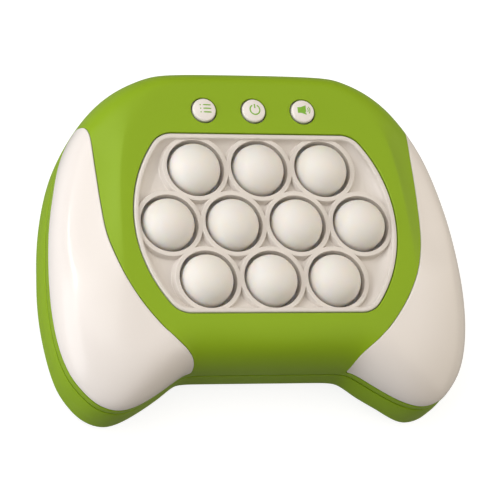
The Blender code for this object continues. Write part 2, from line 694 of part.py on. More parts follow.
def back_casing():
    tops = ((0.0, Z_SEAM - SEAM_GAP), (BACK_WALL - LIP_WALL, Z_SEAM - SEAM_GAP),
            (BACK_WALL - LIP_WALL, Z_SEAM + LIP_HEIGHT))
    casing = back_form("back_casing", 0.0, 0.0, tops)
    inside = back_form("inside", BACK_WALL, BACK_WALL, ((BACK_WALL, Z_SEAM + OVERRUN),), INNER_STEPS)
    cut(casing, inside)

    limit_depth = BACK_WALL / 2
    solids = [cylinder("pillar", PILLAR_RADIUS, 0.0, Z_SEAM - SEAM_GAP, place)
              for place in casing_screw_places()]
    posts = group("posts", solids)
    limit = back_form("limit", limit_depth, limit_depth, ((limit_depth, Z_SEAM + OVERRUN),), INNER_STEPS)
    keep_common(posts, limit)
    join(casing, posts)

    low = BACK_WALL / 2
    bay_top = Z_BAY_CEILING + BAY_WALL
    bay = box("bay", (0.0, BAY_CENTRE, (low + bay_top) / 2),
              (BAY_HALF_LENGTH + BAY_WALL, BAY_HALF_WIDTH + BAY_WALL, (bay_top - low) / 2))
    join(casing, bay)
    ring = cylinder("ring", SPEAKER_RADIUS + CLEARANCE + SPEAKER_RING_WALL, low,
                    BACK_WALL + SPEAKER_RING_HEIGHT, (0.0, SPEAKER_Y), BORE_SEGMENTS)
    cut(ring, cylinder("core", SPEAKER_RADIUS + CLEARANCE, 0.0, Z_SEAM, (0.0, SPEAKER_Y), BORE_SEGMENTS))
    join(casing, ring)
    join(casing, cylinder("post", DOOR_POST_RADIUS, low, DOOR_POST_TOP, (0.0, DOOR_SCREW_Y)))

    cut(casing, box("opening", (0.0, BAY_CENTRE, Z_BAY_CEILING / 2),
                    (BAY_HALF_LENGTH, BAY_HALF_WIDTH, Z_BAY_CEILING / 2)))
    seat = DOOR_THICKNESS + CLEARANCE
    cut(casing, box("seat", (0.0, BAY_CENTRE, (seat - OVERRUN) / 2),
                    (DOOR_HALF_LENGTH + CLEARANCE, DOOR_HALF_WIDTH + CLEARANCE, (seat + OVERRUN) / 2)))
    cut(casing, cylinder("well", DOOR_BOSS_RADIUS + CLEARANCE, -OVERRUN, DOOR_BOSS_HEIGHT + CLEARANCE,
                         (0.0, DOOR_SCREW_Y)))
    cut(casing, cylinder("hole", BOARD_SCREW_RADIUS + CLEARANCE, 0.0,
                         DOOR_BOSS_HEIGHT + DOOR_SCREW_LENGTH, (0.0, DOOR_SCREW_Y)))

    bores = [cylinder("counterbore", CASING_HEAD_RADIUS + CLEARANCE, -OVERRUN,
                      Z_SEAM - SEAM_GAP - CASING_SCREW_LEDGE, place) for place in casing_screw_places()]
    cut(casing, group("bores", bores))
    holes = [cylinder("hole", CASING_SCREW_RADIUS + CLEARANCE, Z_SEAM - SEAM_GAP - 2 * CASING_SCREW_LEDGE,
                      Z_SEAM + OVERRUN, place) for place in casing_screw_places()]
    cut(casing, group("holes", holes))

    slots = []
    for i in range(GRILLE_SLOTS):
        offset = GRILLE_PITCH * (i - (GRILLE_SLOTS - 1) / 2)
        half = math.sqrt(GRILLE_RADIUS ** 2 - offset ** 2)
        slots.append(box("slot", (0.0, SPEAKER_Y + offset, BACK_WALL / 2),
                         (half, GRILLE_SLOT / 2, BACK_WALL)))
    cut(casing, group("slots", slots))
    return finish(casing, GREEN, 0.42)


# Bubble panel, bubbles and sheet

def bubble_panel():
    flange_top = Z_CEILING - CLEARANCE
    flange_low = flange_top - PANEL_FLANGE_THICKNESS
    rings = [
        at_height(window_ring(CLEARANCE), Z_PANEL_UNDER),
        at_height(window_ring(CLEARANCE), flange_low),
        at_height(window_ring(-PANEL_FLANGE), flange_low),
        at_height(window_ring(-PANEL_FLANGE), flange_top),
        at_height(window_ring(CLEARANCE), flange_top),
        at_height(window_ring(CLEARANCE), Z_FACE),
    ]
    for k in range(COVE_STEPS + 1):
        turn = math.pi / 2 * k / COVE_STEPS
        inset = CLEARANCE + RIM_WIDTH + COVE_WIDTH * (1 - math.cos(turn))
        rings.append(at_height(window_ring(inset), Z_FACE - (Z_FACE - Z_FLOOR) * math.sin(turn)))
    panel = loft("bubble_panel", rings)
    for place in bubble_places():
        join(panel, cylinder("collar", COLLAR_RADIUS, Z_FLOOR - PANEL_FLOOR / 2, Z_COLLAR, place,
                             BORE_SEGMENTS))
    bores = [cylinder("bore", BORE_RADIUS, Z_PANEL_UNDER - OVERRUN, Z_COLLAR + OVERRUN, place,
                      BORE_SEGMENTS) for place in bubble_places()]
    cut(panel, group("bores", bores))
    return finish(panel, PANEL_CREAM, 0.5)


def bubble(number, place):
    """A hollow dome with a flange that laps under its collar and a plunger down to its contact."""
    outer = BUBBLE_DIAMETER / 2
    inner = outer - BUBBLE_WALL
    flange = BORE_RADIUS + BUBBLE_FLANGE_LAP
    crown = BUBBLE_CROWN - BUBBLE_WALL
    plunger_end = Z_SHEET_UNDER + CONTACT_HEIGHT
    profile = [(outer * math.sin(a), Z_BUBBLE_BASE + BUBBLE_CROWN * math.cos(a))
               for a in np.linspace(0, math.pi / 2, DOME_STEPS + 1)]
    profile[0] = (0, Z_BUBBLE_BASE + BUBBLE_CROWN)
    profile += [(outer, Z_SHEET_TOP), (flange, Z_SHEET_TOP),
                (flange, Z_SHEET_UNDER), (inner, Z_SHEET_UNDER)]
    first = math.asin(PLUNGER_RADIUS / inner)
    profile += [(inner * math.sin(a), Z_BUBBLE_BASE + crown * math.cos(a))
                for a in np.linspace(math.pi / 2, first, INNER_STEPS + 1)]
    profile += [(PLUNGER_RADIUS, plunger_end), (0, plunger_end)]
    piece = turned(f"bubble_{number}", profile, (*place, 0.0), BUBBLE_SEGMENTS)
    return finish(piece, SILICONE, 0.55, origin=(*place, Z_COLLAR))


def bubble_sheet():
    sheet = prism("bubble_sheet", window_ring(-SHEET_REACH), Z_BOARD_TOP + CLEARANCE, Z_SHEET_TOP)
    inside = prism("inside", window_ring(SHEET_RIM - SHEET_REACH), Z_BOARD_TOP - OVERRUN, Z_SHEET_UNDER)
    cut(sheet, inside)
    hole_radius = BORE_RADIUS + BUBBLE_FLANGE_LAP + CLEARANCE
    holes = [cylinder("hole", hole_radius, Z_BOARD_TOP, Z_SHEET_TOP + OVERRUN, place, BORE_SEGMENTS)
             for place in bubble_places()]
    cut(sheet, group("holes", holes))
    return finish(sheet, SILICONE, 0.6)


# Buttons, switches and the board

def push_button(name, place):
    cap = BUTTON_DIAMETER / 2
    top = Z_FACE + BUTTON_RISE
    shoulder = Z_CEILING - CLEARANCE
    flange = BUTTON_HOLE_RADIUS + BUTTON_FLANGE_LAP
    under = shoulder - BUTTON_FLANGE_THICKNESS
    foot = Z_BOARD_TOP + SWITCH_HEIGHT + SWITCH_PLUNGER_RISE + CLEARANCE
    profile = [(cap * math.sin(a), top - BUTTON_CROWN * (1 - math.cos(a)))
               for a in np.linspace(0, math.pi / 2, DOME_STEPS)]
    profile[0] = (0, top)
    profile += [(cap, shoulder), (flange, shoulder), (flange, under), (BUTTON_POST_RADIUS, under),
                (BUTTON_POST_RADIUS, foot), (0, foot)]
    piece = turned(name, profile, (*place, 0.0), BUBBLE_SEGMENTS)
    return finish(piece, CREAM, 0.3, origin=(*place, Z_FACE))


def push_switch(name, place):
    half = SWITCH_SIZE / 2
    body = box(name, (*place, Z_BOARD_TOP + SWITCH_HEIGHT / 2), (half, half, SWITCH_HEIGHT / 2))
    bore_low = Z_BOARD_TOP + SWITCH_HEIGHT - SWITCH_PLUNGER_DEPTH - BUTTON_TRAVEL - CLEARANCE
    cut(body, cylinder("bore", SWITCH_PLUNGER_RADIUS + CLEARANCE, bore_low,
                       Z_BOARD_TOP + SWITCH_HEIGHT + OVERRUN, place))
    return finish(body, DARK, 0.4)


def switch_plunger(name, place):
    low = Z_BOARD_TOP + SWITCH_HEIGHT - SWITCH_PLUNGER_DEPTH
    top = Z_BOARD_TOP + SWITCH_HEIGHT + SWITCH_PLUNGER_RISE
    piece = cylinder(name, SWITCH_PLUNGER_RADIUS, low, top, place)
    return finish(piece, STEEL, 0.4, origin=(*place, Z_FACE))


def lamp_places():
    """One small lamp beside each contact, inside the hollow of its bubble."""
    inner = BUBBLE_DIAMETER / 2 - BUBBLE_WALL
    reach = CONTACT_RADIUS + (inner - CONTACT_RADIUS) * LAMP_PLACE_SHARE
    return [(x + reach, y) for x, y in bubble_places()]


def circuit_board():
    """The board with its screw holes, and the raised contact and soldered lamp under each bubble."""
    x, y = BOARD_HALF_WIDTH, BOARD_HALF_HEIGHT
    tab, top = BOARD_TAB_HALF, BOARD_TAB_TOP
    ring = [(-x, -y), (x, -y), (x, y), (tab, y), (tab, top), (-tab, top), (-tab, y), (-x, y)]
    ring = [(px, py + WINDOW_Y) for px, py in ring]
    board = prism("circuit_board", ring, Z_BOARD_UNDER, Z_BOARD_TOP)
    holes = [cylinder("hole", BOARD_SCREW_RADIUS + CLEARANCE, Z_BOARD_UNDER - OVERRUN,
                      Z_BOARD_TOP + OVERRUN, place) for place in board_screw_places()]
    cut(board, group("holes", holes))
    raised = [cylinder("contact", CONTACT_RADIUS, Z_BOARD_UNDER + CLEARANCE,
                       Z_BOARD_TOP + CONTACT_HEIGHT, place) for place in bubble_places()]
    lamp_half = (LAMP_WIDTH / 2, LAMP_LENGTH / 2, LAMP_HEIGHT)
    raised += [box("lamp", (*place, Z_BOARD_TOP), lamp_half) for place in lamp_places()]
    join(board, group("raised", raised))
    return finish(board, BOARD_GREEN, 0.45)


def control_chip():
    x = CHIP_PLACE_SHARES[0] * BOARD_HALF_WIDTH
    y = WINDOW_Y + CHIP_PLACE_SHARES[1] * BOARD_HALF_HEIGHT
    half = CHIP_SIZE / 2
    chip = box("control_chip", (x, y, Z_BOARD_UNDER - CHIP_HEIGHT / 2), (half, half, CHIP_HEIGHT / 2))
    return finish(chip, DARK, 0.5)


# Screws

def screw(name, place, head_face, head_radius, head_height, radius, length):
    """A pan-head screw with its head below head_face and its shank upwards."""
    crown = head_height / 3
    profile = [(0, head_face + length), (radius, head_face + length), (radius, head_face),
               (head_radius, head_face), (head_radius, head_face - head_height + crown),
               (head_radius - crown, head_face - head_height), (0, head_face - head_height)]
    piece = turned(name, profile, (*place, 0.0), SCREW_SEGMENTS)
    return finish(piece, STEEL, 0.35, 0.9, origin=(*place, head_face))


def casing_screws():
    seat = Z_SEAM - SEAM_GAP - CASING_SCREW_LEDGE - CLEARANCE
    for number, place in enumerate(casing_screw_places(), start=1):
        screw(f"casing_screw_{number}", place, seat, CASING_HEAD_RADIUS, CASING_HEAD_HEIGHT,
              CASING_SCREW_RADIUS, CASING_SCREW_LENGTH)


def board_screws():
    seat = Z_BOARD_UNDER - CLEARANCE
    for number, place in enumerate(board_screw_places(), start=1):
        screw(f"board_screw_{number}", place, seat, BOARD_HEAD_RADIUS, BOARD_HEAD_HEIGHT,
              BOARD_SCREW_RADIUS, BOARD_SCREW_LENGTH)


def battery_door_screw():
    screw("battery_door_screw", (0.0, DOOR_SCREW_Y), BOARD_HEAD_HEIGHT + CLEARANCE, BOARD_HEAD_RADIUS,
          BOARD_HEAD_HEIGHT, BOARD_SCREW_RADIUS, DOOR_SCREW_LENGTH)


# Battery bay

def cell_row(i):
    """Where a cell lies: its height in the row and the end that its spring is at."""
    y = BAY_CENTRE + CELL_PITCH * (i - (CELL_COUNT - 1) / 2)
    spring_end = 1 if i % 2 == 0 else -1
    return y, spring_end


def battery_cell(i):
    y, spring_end = cell_row(i)
    shift = -spring_end * SPRING_LENGTH / 2
    flat = spring_end * CELL_LENGTH / 2
    shoulder = -spring_end * (CELL_LENGTH / 2 - CELL_NUB_LENGTH)
    tip = -spring_end * CELL_LENGTH / 2
    profile = [(0, flat), (CELL_RADIUS, flat), (CELL_RADIUS, shoulder), (CELL_NUB_RADIUS, shoulder),
               (CELL_NUB_RADIUS, tip), (0, tip)]
    piece = turned(f"battery_cell_{i + 1}", profile, (shift, y, Z_CELL), CELL_SEGMENTS, along_x=True)
    return finish(piece, CELL_BLUE, 0.35)


def contact_plate(name, y, end):
    x = end * (BAY_HALF_LENGTH - CLEARANCE - PLATE_THICKNESS / 2)
    return box(name, (x, y, Z_CELL), (PLATE_THICKNESS / 2, PLATE_SIZE / 2, PLATE_SIZE / 2))


def battery_spring(i):
    """A coil spring on the plate that carries it."""
    y, spring_end = cell_row(i)
    piece = contact_plate(f"battery_spring_{i + 1}", y, spring_end)
    foot = BAY_HALF_LENGTH - CLEARANCE - PLATE_THICKNESS
    tip = CELL_LENGTH / 2 - SPRING_LENGTH / 2 + SPRING_WIRE + CLEARANCE
    route = []
    for t in np.linspace(0, 1, SPRING_TURNS * SPRING_SEGMENTS + 1):
        turn = 2 * math.pi * SPRING_TURNS * t
        radius = SPRING_RADIUS * (1 - t * SPRING_TAPER_SHARE)
        route.append((spring_end * (foot + (tip - foot) * t),
                      y + radius * math.cos(turn), Z_CELL + radius * math.sin(turn)))
    join(piece, tube("coil", route, SPRING_WIRE, SPRING_SIDES))
    return finish(piece, STEEL, 0.3, 0.9)


def battery_contact(i):
    """The flat plate that a cell's nub rests on."""
    y, spring_end = cell_row(i)
    return finish(contact_plate(f"battery_contact_{i + 1}", y, -spring_end), STEEL, 0.3, 0.9)


def battery_door():
    door = box("battery_door", (0.0, BAY_CENTRE, DOOR_THICKNESS / 2),
               (DOOR_HALF_LENGTH, DOOR_HALF_WIDTH, DOOR_THICKNESS / 2))
    step_low = DOOR_THICKNESS / 2
    step_top = DOOR_THICKNESS + DOOR_STEP
    join(door, box("step", (0.0, BAY_CENTRE, (step_low + step_top) / 2),
                   (BAY_HALF_LENGTH - CLEARANCE, BAY_HALF_WIDTH - CLEARANCE, (step_top - step_low) / 2)))
    join(door, cylinder("boss", DOOR_BOSS_RADIUS, 0.0, DOOR_BOSS_HEIGHT, (0.0, DOOR_SCREW_Y)))
    cut(door, cylinder("counterbore", BOARD_HEAD_RADIUS + CLEARANCE, -OVERRUN,
                       BOARD_HEAD_HEIGHT + 2 * CLEARANCE, (0.0, DOOR_SCREW_Y)))
    cut(door, cylinder("hole", BOARD_SCREW_RADIUS + CLEARANCE, 0.0, DOOR_BOSS_HEIGHT + OVERRUN,
                       (0.0, DOOR_SCREW_Y)))
    return finish(door, GREEN, 0.42, origin=(0.0, BAY_CENTRE, 0.0))


# Loudspeaker

def speaker_frame():
    inner = SPEAKER_RADIUS - SPEAKER_RIM
    top = SPEAKER_Z + SPEAKER_DEPTH
    centre = (0.0, SPEAKER_Y)
    frame = cylinder("speaker_frame", SPEAKER_RADIUS, SPEAKER_Z, top, centre, BORE_SEGMENTS)
    cut(frame, cylinder("hollow", inner, SPEAKER_Z - OVERRUN, top - SPEAKER_RIM / 2, centre, BORE_SEGMENTS))
    return finish(frame, STEEL, 0.4, 0.8)


def speaker_cone():
    rim = SPEAKER_RADIUS - SPEAKER_RIM - CLEARANCE
    low = SPEAKER_Z + CLEARANCE
    middle = MAGNET_RADIUS / 2
    profile = [(0, low + CONE_DEPTH), (middle, low + CONE_DEPTH), (rim, low + CONE_WALL), (rim, low),
               (middle + CONE_WALL, low + CONE_DEPTH - CONE_WALL), (0, low + CONE_DEPTH - CONE_WALL)]
    piece = turned("speaker_cone", profile, (0.0, SPEAKER_Y, 0.0), BORE_SEGMENTS)
    return finish(piece, DARK, 0.7)


def speaker_magnet():
    low = SPEAKER_Z + SPEAKER_DEPTH
    piece = cylinder("speaker_magnet", MAGNET_RADIUS, low, low + MAGNET_HEIGHT, (0.0, SPEAKER_Y),
                     BORE_SEGMENTS)
    return finish(piece, STEEL, 0.3, 0.9)


# Wires, held inside all the way

def wire_pair(name, route, colour):
    for number, side in enumerate((-1, 1), start=1):
        points = [(x, y + side * WIRE_SPREAD, z) for x, y, z in route]
        wire = tube(f"{name}_{number}", smooth_path(points, 2), WIRE_RADIUS, WIRE_SIDES)
        finish(wire, colour, 0.5)


def speaker_wires():
    x = (MAGNET_RADIUS + SPEAKER_RADIUS) / 2
    low = SPEAKER_Z + SPEAKER_DEPTH + CLEARANCE
    top = Z_BOARD_UNDER - CLEARANCE
    rise = top - low
    back = SPEAKER_Y - MAGNET_RADIUS
    route = [(x, SPEAKER_Y, low), (x, SPEAKER_Y, low + rise / 4),
             (x, back, low + rise * 3 / 4), (x, back, top)]
    wire_pair("speaker_wire", route, RED)


def battery_wires():
    start = BAY_HALF_LENGTH + BAY_WALL + CLEARANCE
    out = start + CELL_RADIUS
    low = Z_CELL + CELL_RADIUS / 2
    top = Z_BOARD_UNDER - CLEARANCE
    middle = (low + top) / 2
    bend = WIRE_RADIUS * 3
    route = [(start, BAY_CENTRE, low), (start + bend, BAY_CENTRE, low), (out, BAY_CENTRE, middle),
             (out, BAY_CENTRE, top - bend), (out, BAY_CENTRE, top)]
    wire_pair("battery_wire", route, RED)


def build():
    clear_scene()
    front_casing()
    back_casing()
    grip_cover("left_grip_cover", mirrored=False)
    grip_cover("right_grip_cover", mirrored=True)
    bubble_panel()
    bubble_sheet()
    for number, place in enumerate(bubble_places(), start=1):
        bubble(number, place)
    for name, place in zip(("mode", "power", "sound"), button_places()):
        push_button(f"{name}_button", place)
        push_switch(f"{name}_switch", place)
        switch_plunger(f"{name}_switch_plunger", place)
    circuit_board()
    control_chip()
    casing_screws()
    board_screws()
    for i in range(CELL_COUNT):
        battery_cell(i)
        battery_spring(i)
        battery_contact(i)
    battery_door()
    battery_door_screw()
    speaker_frame()
    speaker_cone()
    speaker_magnet()
    speaker_wires()
    battery_wires()


build()
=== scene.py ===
# %% [markdown]
# # A hand-held bubble pop game, dressed for its picture
#
# The solid model holds every separate piece at its real size. This lesson loads it, puts smooth and
# detailed pieces over its plain ones, and gives each a material named for the real one. All numbers
# of size are in millimetres, and one factor turns them to Blender's metres.

# %% Load the solid model
import json
import math

import bpy
import numpy as np
from mathutils import Matrix, Vector

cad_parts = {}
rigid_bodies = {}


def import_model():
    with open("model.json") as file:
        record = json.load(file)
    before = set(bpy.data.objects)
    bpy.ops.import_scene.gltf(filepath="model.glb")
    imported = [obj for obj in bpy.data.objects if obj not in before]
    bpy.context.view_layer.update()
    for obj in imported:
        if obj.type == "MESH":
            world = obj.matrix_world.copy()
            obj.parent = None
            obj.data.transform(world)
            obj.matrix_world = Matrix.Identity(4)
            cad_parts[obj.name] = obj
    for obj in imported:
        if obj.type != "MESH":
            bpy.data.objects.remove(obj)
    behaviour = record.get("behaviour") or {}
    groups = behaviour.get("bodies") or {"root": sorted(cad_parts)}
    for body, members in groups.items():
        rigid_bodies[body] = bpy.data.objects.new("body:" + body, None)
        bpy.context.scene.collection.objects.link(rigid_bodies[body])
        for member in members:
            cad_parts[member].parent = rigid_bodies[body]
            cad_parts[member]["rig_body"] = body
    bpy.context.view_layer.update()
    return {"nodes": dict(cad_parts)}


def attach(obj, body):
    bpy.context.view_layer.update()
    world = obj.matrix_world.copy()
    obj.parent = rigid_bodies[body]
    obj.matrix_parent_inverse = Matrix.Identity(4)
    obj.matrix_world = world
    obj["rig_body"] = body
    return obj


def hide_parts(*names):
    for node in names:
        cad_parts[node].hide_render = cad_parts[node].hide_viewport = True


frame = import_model()
nodes = frame["nodes"]
MM = 0.001

# %% [markdown]
# ## The camera
#
# The picture was taken from in front and above with a long lens: the sides run almost parallel. The
# place, the turn and the roll were fitted to the centres of the ten bubbles, so a piece that sits
# right in the solid model also sits right in the picture.

# %% Camera
WINDOW_Y = 1.8
PANEL_TOP = 32.5
AIM = Vector((0.0, WINDOW_Y, PANEL_TOP)) * MM
CAMERA_RIGHT = Vector((0.936932, -0.116696, 0.329456))
CAMERA_UP = Vector((-0.004530, 0.938482, 0.345298))
CAMERA_BACK = CAMERA_RIGHT.cross(CAMERA_UP)
CAMERA_DISTANCE = 1120.2
SENSOR_WIDTH, FOCAL_LENGTH = 36.0, 262.3
SHIFT_ACROSS, SHIFT_UP = -0.0325, -0.0532
NEAREST, FARTHEST = 50.0, 20000.0

camera_data = bpy.data.cameras.new("camera")
camera_data.sensor_width = SENSOR_WIDTH
camera_data.lens = FOCAL_LENGTH
camera_data.shift_x = SHIFT_ACROSS
camera_data.shift_y = SHIFT_UP
camera_data.clip_start = NEAREST * MM
camera_data.clip_end = FARTHEST * MM
camera = bpy.data.objects.new("camera", camera_data)
bpy.context.scene.collection.objects.link(camera)
turn = Matrix((CAMERA_RIGHT, CAMERA_UP, CAMERA_BACK)).transposed().to_4x4()
camera.matrix_world = Matrix.Translation(AIM + CAMERA_BACK * CAMERA_DISTANCE * MM) @ turn
bpy.context.scene.camera = camera
print("camera looks down at", round(math.degrees(math.asin(CAMERA_BACK.z)), 1), "degrees")

# %% [markdown]
# ## Working with operators
#
# Blender's operators act on whatever is selected, and the loaded solids come in selected. So each
# piece starts with nothing selected, and a small helper makes one object the only selected one.

# %% Selecting one piece
def pick(piece):
    """Makes this object the only selected one, and the active one."""
    bpy.ops.object.select_all(action="DESELECT")
    piece.select_set(True)
    bpy.context.view_layer.objects.active = piece
    return piece


def in_edit_mode(piece, *steps):
    """Runs operators on all of a mesh: each step is an operator and its settings."""
    pick(piece)
    bpy.ops.object.mode_set(mode="EDIT")
    for operator, settings in steps:
        bpy.ops.mesh.select_all(action="SELECT")
        operator(**settings)
    bpy.ops.object.mode_set(mode="OBJECT")
    return piece


def apply_modifier(piece, kind, **settings):
    """Adds one modifier, sets it and applies it at once."""
    pick(piece)
    modifier = piece.modifiers.new(kind.lower(), kind)
    for name, value in settings.items():
        setattr(modifier, name, value)
    bpy.ops.object.modifier_apply(modifier=modifier.name)
    return piece


# %% [markdown]
# ## Two ways to make a form
#
# A part from a lathe-like mould, such as a bubble, is drawn as half its outline and spun round its
# axis. A moulded shell is more like a cloth laid on a form: a plain grid is added, and each of its
# crossings is moved to its place on the form. Both keep clean rows of four-sided faces, so the
# gloss runs smoothly over them.

# %% Spun pieces and laid sheets
MERGE = {"threshold": 0.002 * MM}
OUTWARDS = {"inside": False}


def spun(name, outline, place=(0.0, 0.0), steps=96):
    """Spins an outline of (radius, height) points round an upright axis."""
    points = [(place[0] * MM + r * MM, place[1] * MM, z * MM) for r, z in outline]
    mesh = bpy.data.meshes.new(name)
    mesh.from_pydata(points, [(i, i + 1) for i in range(len(points) - 1)], [])
    piece = bpy.data.objects.new(name, mesh)
    bpy.context.scene.collection.objects.link(piece)
    centre = (place[0] * MM, place[1] * MM, 0.0)
    round_turn = {"steps": steps, "angle": 2 * math.pi, "center": centre, "axis": (0, 0, 1)}
    return in_edit_mode(piece, (bpy.ops.mesh.spin, round_turn), (bpy.ops.mesh.remove_doubles, MERGE),
                        (bpy.ops.mesh.normals_make_consistent, OUTWARDS))


def laid(name, rows):
    """Lays a grid over rows of points in millimetres; rows and columns that meet are merged."""
    rows = np.asarray(rows, float) * MM
    bpy.ops.object.select_all(action="DESELECT")
    bpy.ops.mesh.primitive_grid_add(x_subdivisions=rows.shape[1] - 1, y_subdivisions=rows.shape[0] - 1,
                                    size=2.0)
    piece = bpy.context.object
    piece.name = name
    places = np.empty(len(piece.data.vertices) * 3)
    piece.data.vertices.foreach_get("co", places)
    places = places.reshape(-1, 3)
    across = np.rint((places[:, 0] + 1) / 2 * (rows.shape[1] - 1)).astype(int)
    along = np.rint((places[:, 1] + 1) / 2 * (rows.shape[0] - 1)).astype(int)
    piece.data.vertices.foreach_set("co", rows[along, across].ravel())
    return in_edit_mode(piece, (bpy.ops.mesh.remove_doubles, MERGE),
                        (bpy.ops.mesh.normals_make_consistent, OUTWARDS))


def combined(target, cutter, operation="DIFFERENCE", overlapping=False):
    """Cuts one mesh with another, or joins them, and removes the cutter."""
    apply_modifier(target, "BOOLEAN", operation=operation, object=cutter, solver="EXACT",
                   use_self=overlapping)
    bpy.data.objects.remove(cutter)
    return target


def merged_copies(name, pieces):
    """Joins several meshes into one object without changing them."""
    pick(pieces[0])
    for piece in pieces[1:]:
        piece.select_set(True)
    if len(pieces) > 1:
        bpy.ops.object.join()
    pieces[0].name = name
    return pieces[0]


# %% [markdown]
# ## Colours and materials
#
# A colour picked from a screen is sRGB, and Blender's shaders want linear light, so one function
# turns hex values round. One more adds a shader node with its settings, values and links.

# %% Colour and node helpers
def colour(hex_value):
    """An sRGB hex colour as the linear colour that a shader needs."""
    parts = [int(hex_value[i:i + 2], 16) / 255 for i in (1, 3, 5)]
    linear = [p / 12.92 if p <= 0.04045 else ((p + 0.055) / 1.055) ** 2.4 for p in parts]
    return (*linear, 1.0)


def add_node(tree, kind, settings=None, values=None, links=None):
    """Adds one shader node, sets it up and links sockets of earlier nodes into it."""
    made = tree.nodes.new(kind)
    for name, value in (settings or {}).items():
        setattr(made, name, value)
    for socket, value in (values or {}).items():
        made.inputs[socket].default_value = value
    for socket, source in (links or {}).items():
        tree.links.new(source, made.inputs[socket])
    return made


def new_material(name):
    """An empty material with its Principled shader and the place on the object."""
    material = bpy.data.materials.new(name)
    material.use_nodes = True
    tree = material.node_tree
    shader = tree.nodes["Principled BSDF"]
    place = add_node(tree, "ShaderNodeTexCoord")
    return material, tree, shader, place.outputs["Object"]


# %% [markdown]
# ## Moulded plastics
#
# Nearly all that shows is injection-moulded plastic. It differs in three ways: the base colour, the
# polish of the mould, and how far light gets into it. The mould's fine spark-eroded grain is about
# 0.1 mm, too fine for the picture, so it is drawn at 0.5 mm and very shallow. A slow drift in colour
# and gloss, some 30 mm across, stands for the flow of the melt. A pattern's scale is worked out from
# its size in millimetres.

# %% Moulded plastic
FLOW_SIZE, GRAIN_SIZE = 30.3, 0.5
GRAIN_STRENGTH = 0.25
NOISE_SPAN = {"From Min": 0.3, "From Max": 0.7}
SCATTER_WEIGHT, SCATTER_REACH = 0.6, (1.0, 0.72, 0.45)


def per_metre(size):
    """The scale of a pattern whose features are this many millimetres across."""
    return 1 / (size * MM)


def moulded_plastic(name, base, drift, roughness, grain_height, ior=1.50, depth=0.0):
    """Plastic from a mould: base and drift are two close colours, roughness a low and a high value."""
    material, tree, shader, place = new_material(name)
    flow = add_node(tree, "ShaderNodeTexNoise", values={"Scale": per_metre(FLOW_SIZE), "Detail": 3.0},
                    links={"Vector": place})
    tint = add_node(tree, "ShaderNodeMix", settings={"data_type": "RGBA"},
                    values={"A": colour(base), "B": colour(drift)}, links={"Factor": flow.outputs["Fac"]})
    gloss = add_node(tree, "ShaderNodeMapRange",
                     values={**NOISE_SPAN, "To Min": roughness[0], "To Max": roughness[1]},
                     links={"Value": flow.outputs["Fac"]})
    grain = add_node(tree, "ShaderNodeTexNoise", values={"Scale": per_metre(GRAIN_SIZE), "Detail": 2.0},
                     links={"Vector": place})
    bump = add_node(tree, "ShaderNodeBump",
                    values={"Strength": GRAIN_STRENGTH, "Distance": grain_height * MM},
                    links={"Height": grain.outputs["Fac"]})
    tree.links.new(tint.outputs["Result"], shader.inputs["Base Color"])
    tree.links.new(gloss.outputs["Result"], shader.inputs["Roughness"])
    tree.links.new(bump.outputs["Normal"], shader.inputs["Normal"])
    shader.inputs["IOR"].default_value = ior
    if depth:
        shader.inputs["Subsurface Weight"].default_value = SCATTER_WEIGHT
        shader.inputs["Subsurface Scale"].default_value = depth * MM
        shader.inputs["Subsurface Radius"].default_value = SCATTER_REACH
    return material


# Satin ABS from a lightly etched mould: an even green with a broad, soft sheen.
GREEN_ABS = moulded_plastic("green satin ABS", "#8BAC1F", "#86A71B", (0.44, 0.50), 0.03, ior=1.33)
# Gloss ABS from a polished mould: warm white with one clear highlight.
GLOSS_ABS = moulded_plastic("warm white gloss ABS", "#E8E3DF", "#E5E0DB", (0.17, 0.21), 0.008, ior=1.40)
# Satin ABS in the same warm white, a shade darker.
PANEL_ABS = moulded_plastic("warm white satin ABS", "#DCD7D1", "#D8D2CB", (0.40, 0.46), 0.02)
# Liquid silicone rubber: light gets in a millimetre or so, which softens its shadows.
SILICONE = moulded_plastic("warm white silicone rubber", "#E7E3DE", "#E4DFD8", (0.48, 0.55), 0.02,
                           ior=1.43, depth=2.0)
print(len(bpy.data.materials), "materials so far")

# %% [markdown]
# ## Metals and the rest
#
# Plated steel is a smooth metal, and its gloss changes slowly where fingers and tools have been. The
# cone and the board have two close colours in a fine pattern: pulp fibre, and copper under lacquer.
# The other plastics come out of a mould as well, so the same function makes them.

# %% Other materials
BLOTCH_SIZE = 8.33
PATTERN_STRENGTH = 0.3


def plated_metal(name, base, roughness):
    """Metal with a thin bright coat: roughness is a low and a high value over soft blotches."""
    material, tree, shader, place = new_material(name)
    blotches = add_node(tree, "ShaderNodeTexNoise", values={"Scale": per_metre(BLOTCH_SIZE), "Detail": 4.0},
                        links={"Vector": place})
    gloss = add_node(tree, "ShaderNodeMapRange",
                     values={**NOISE_SPAN, "To Min": roughness[0], "To Max": roughness[1]},
                     links={"Value": blotches.outputs["Fac"]})
    tree.links.new(gloss.outputs["Result"], shader.inputs["Roughness"])
    shader.inputs["Base Color"].default_value = colour(base)
    shader.inputs["Metallic"].default_value = 1.0
    return material


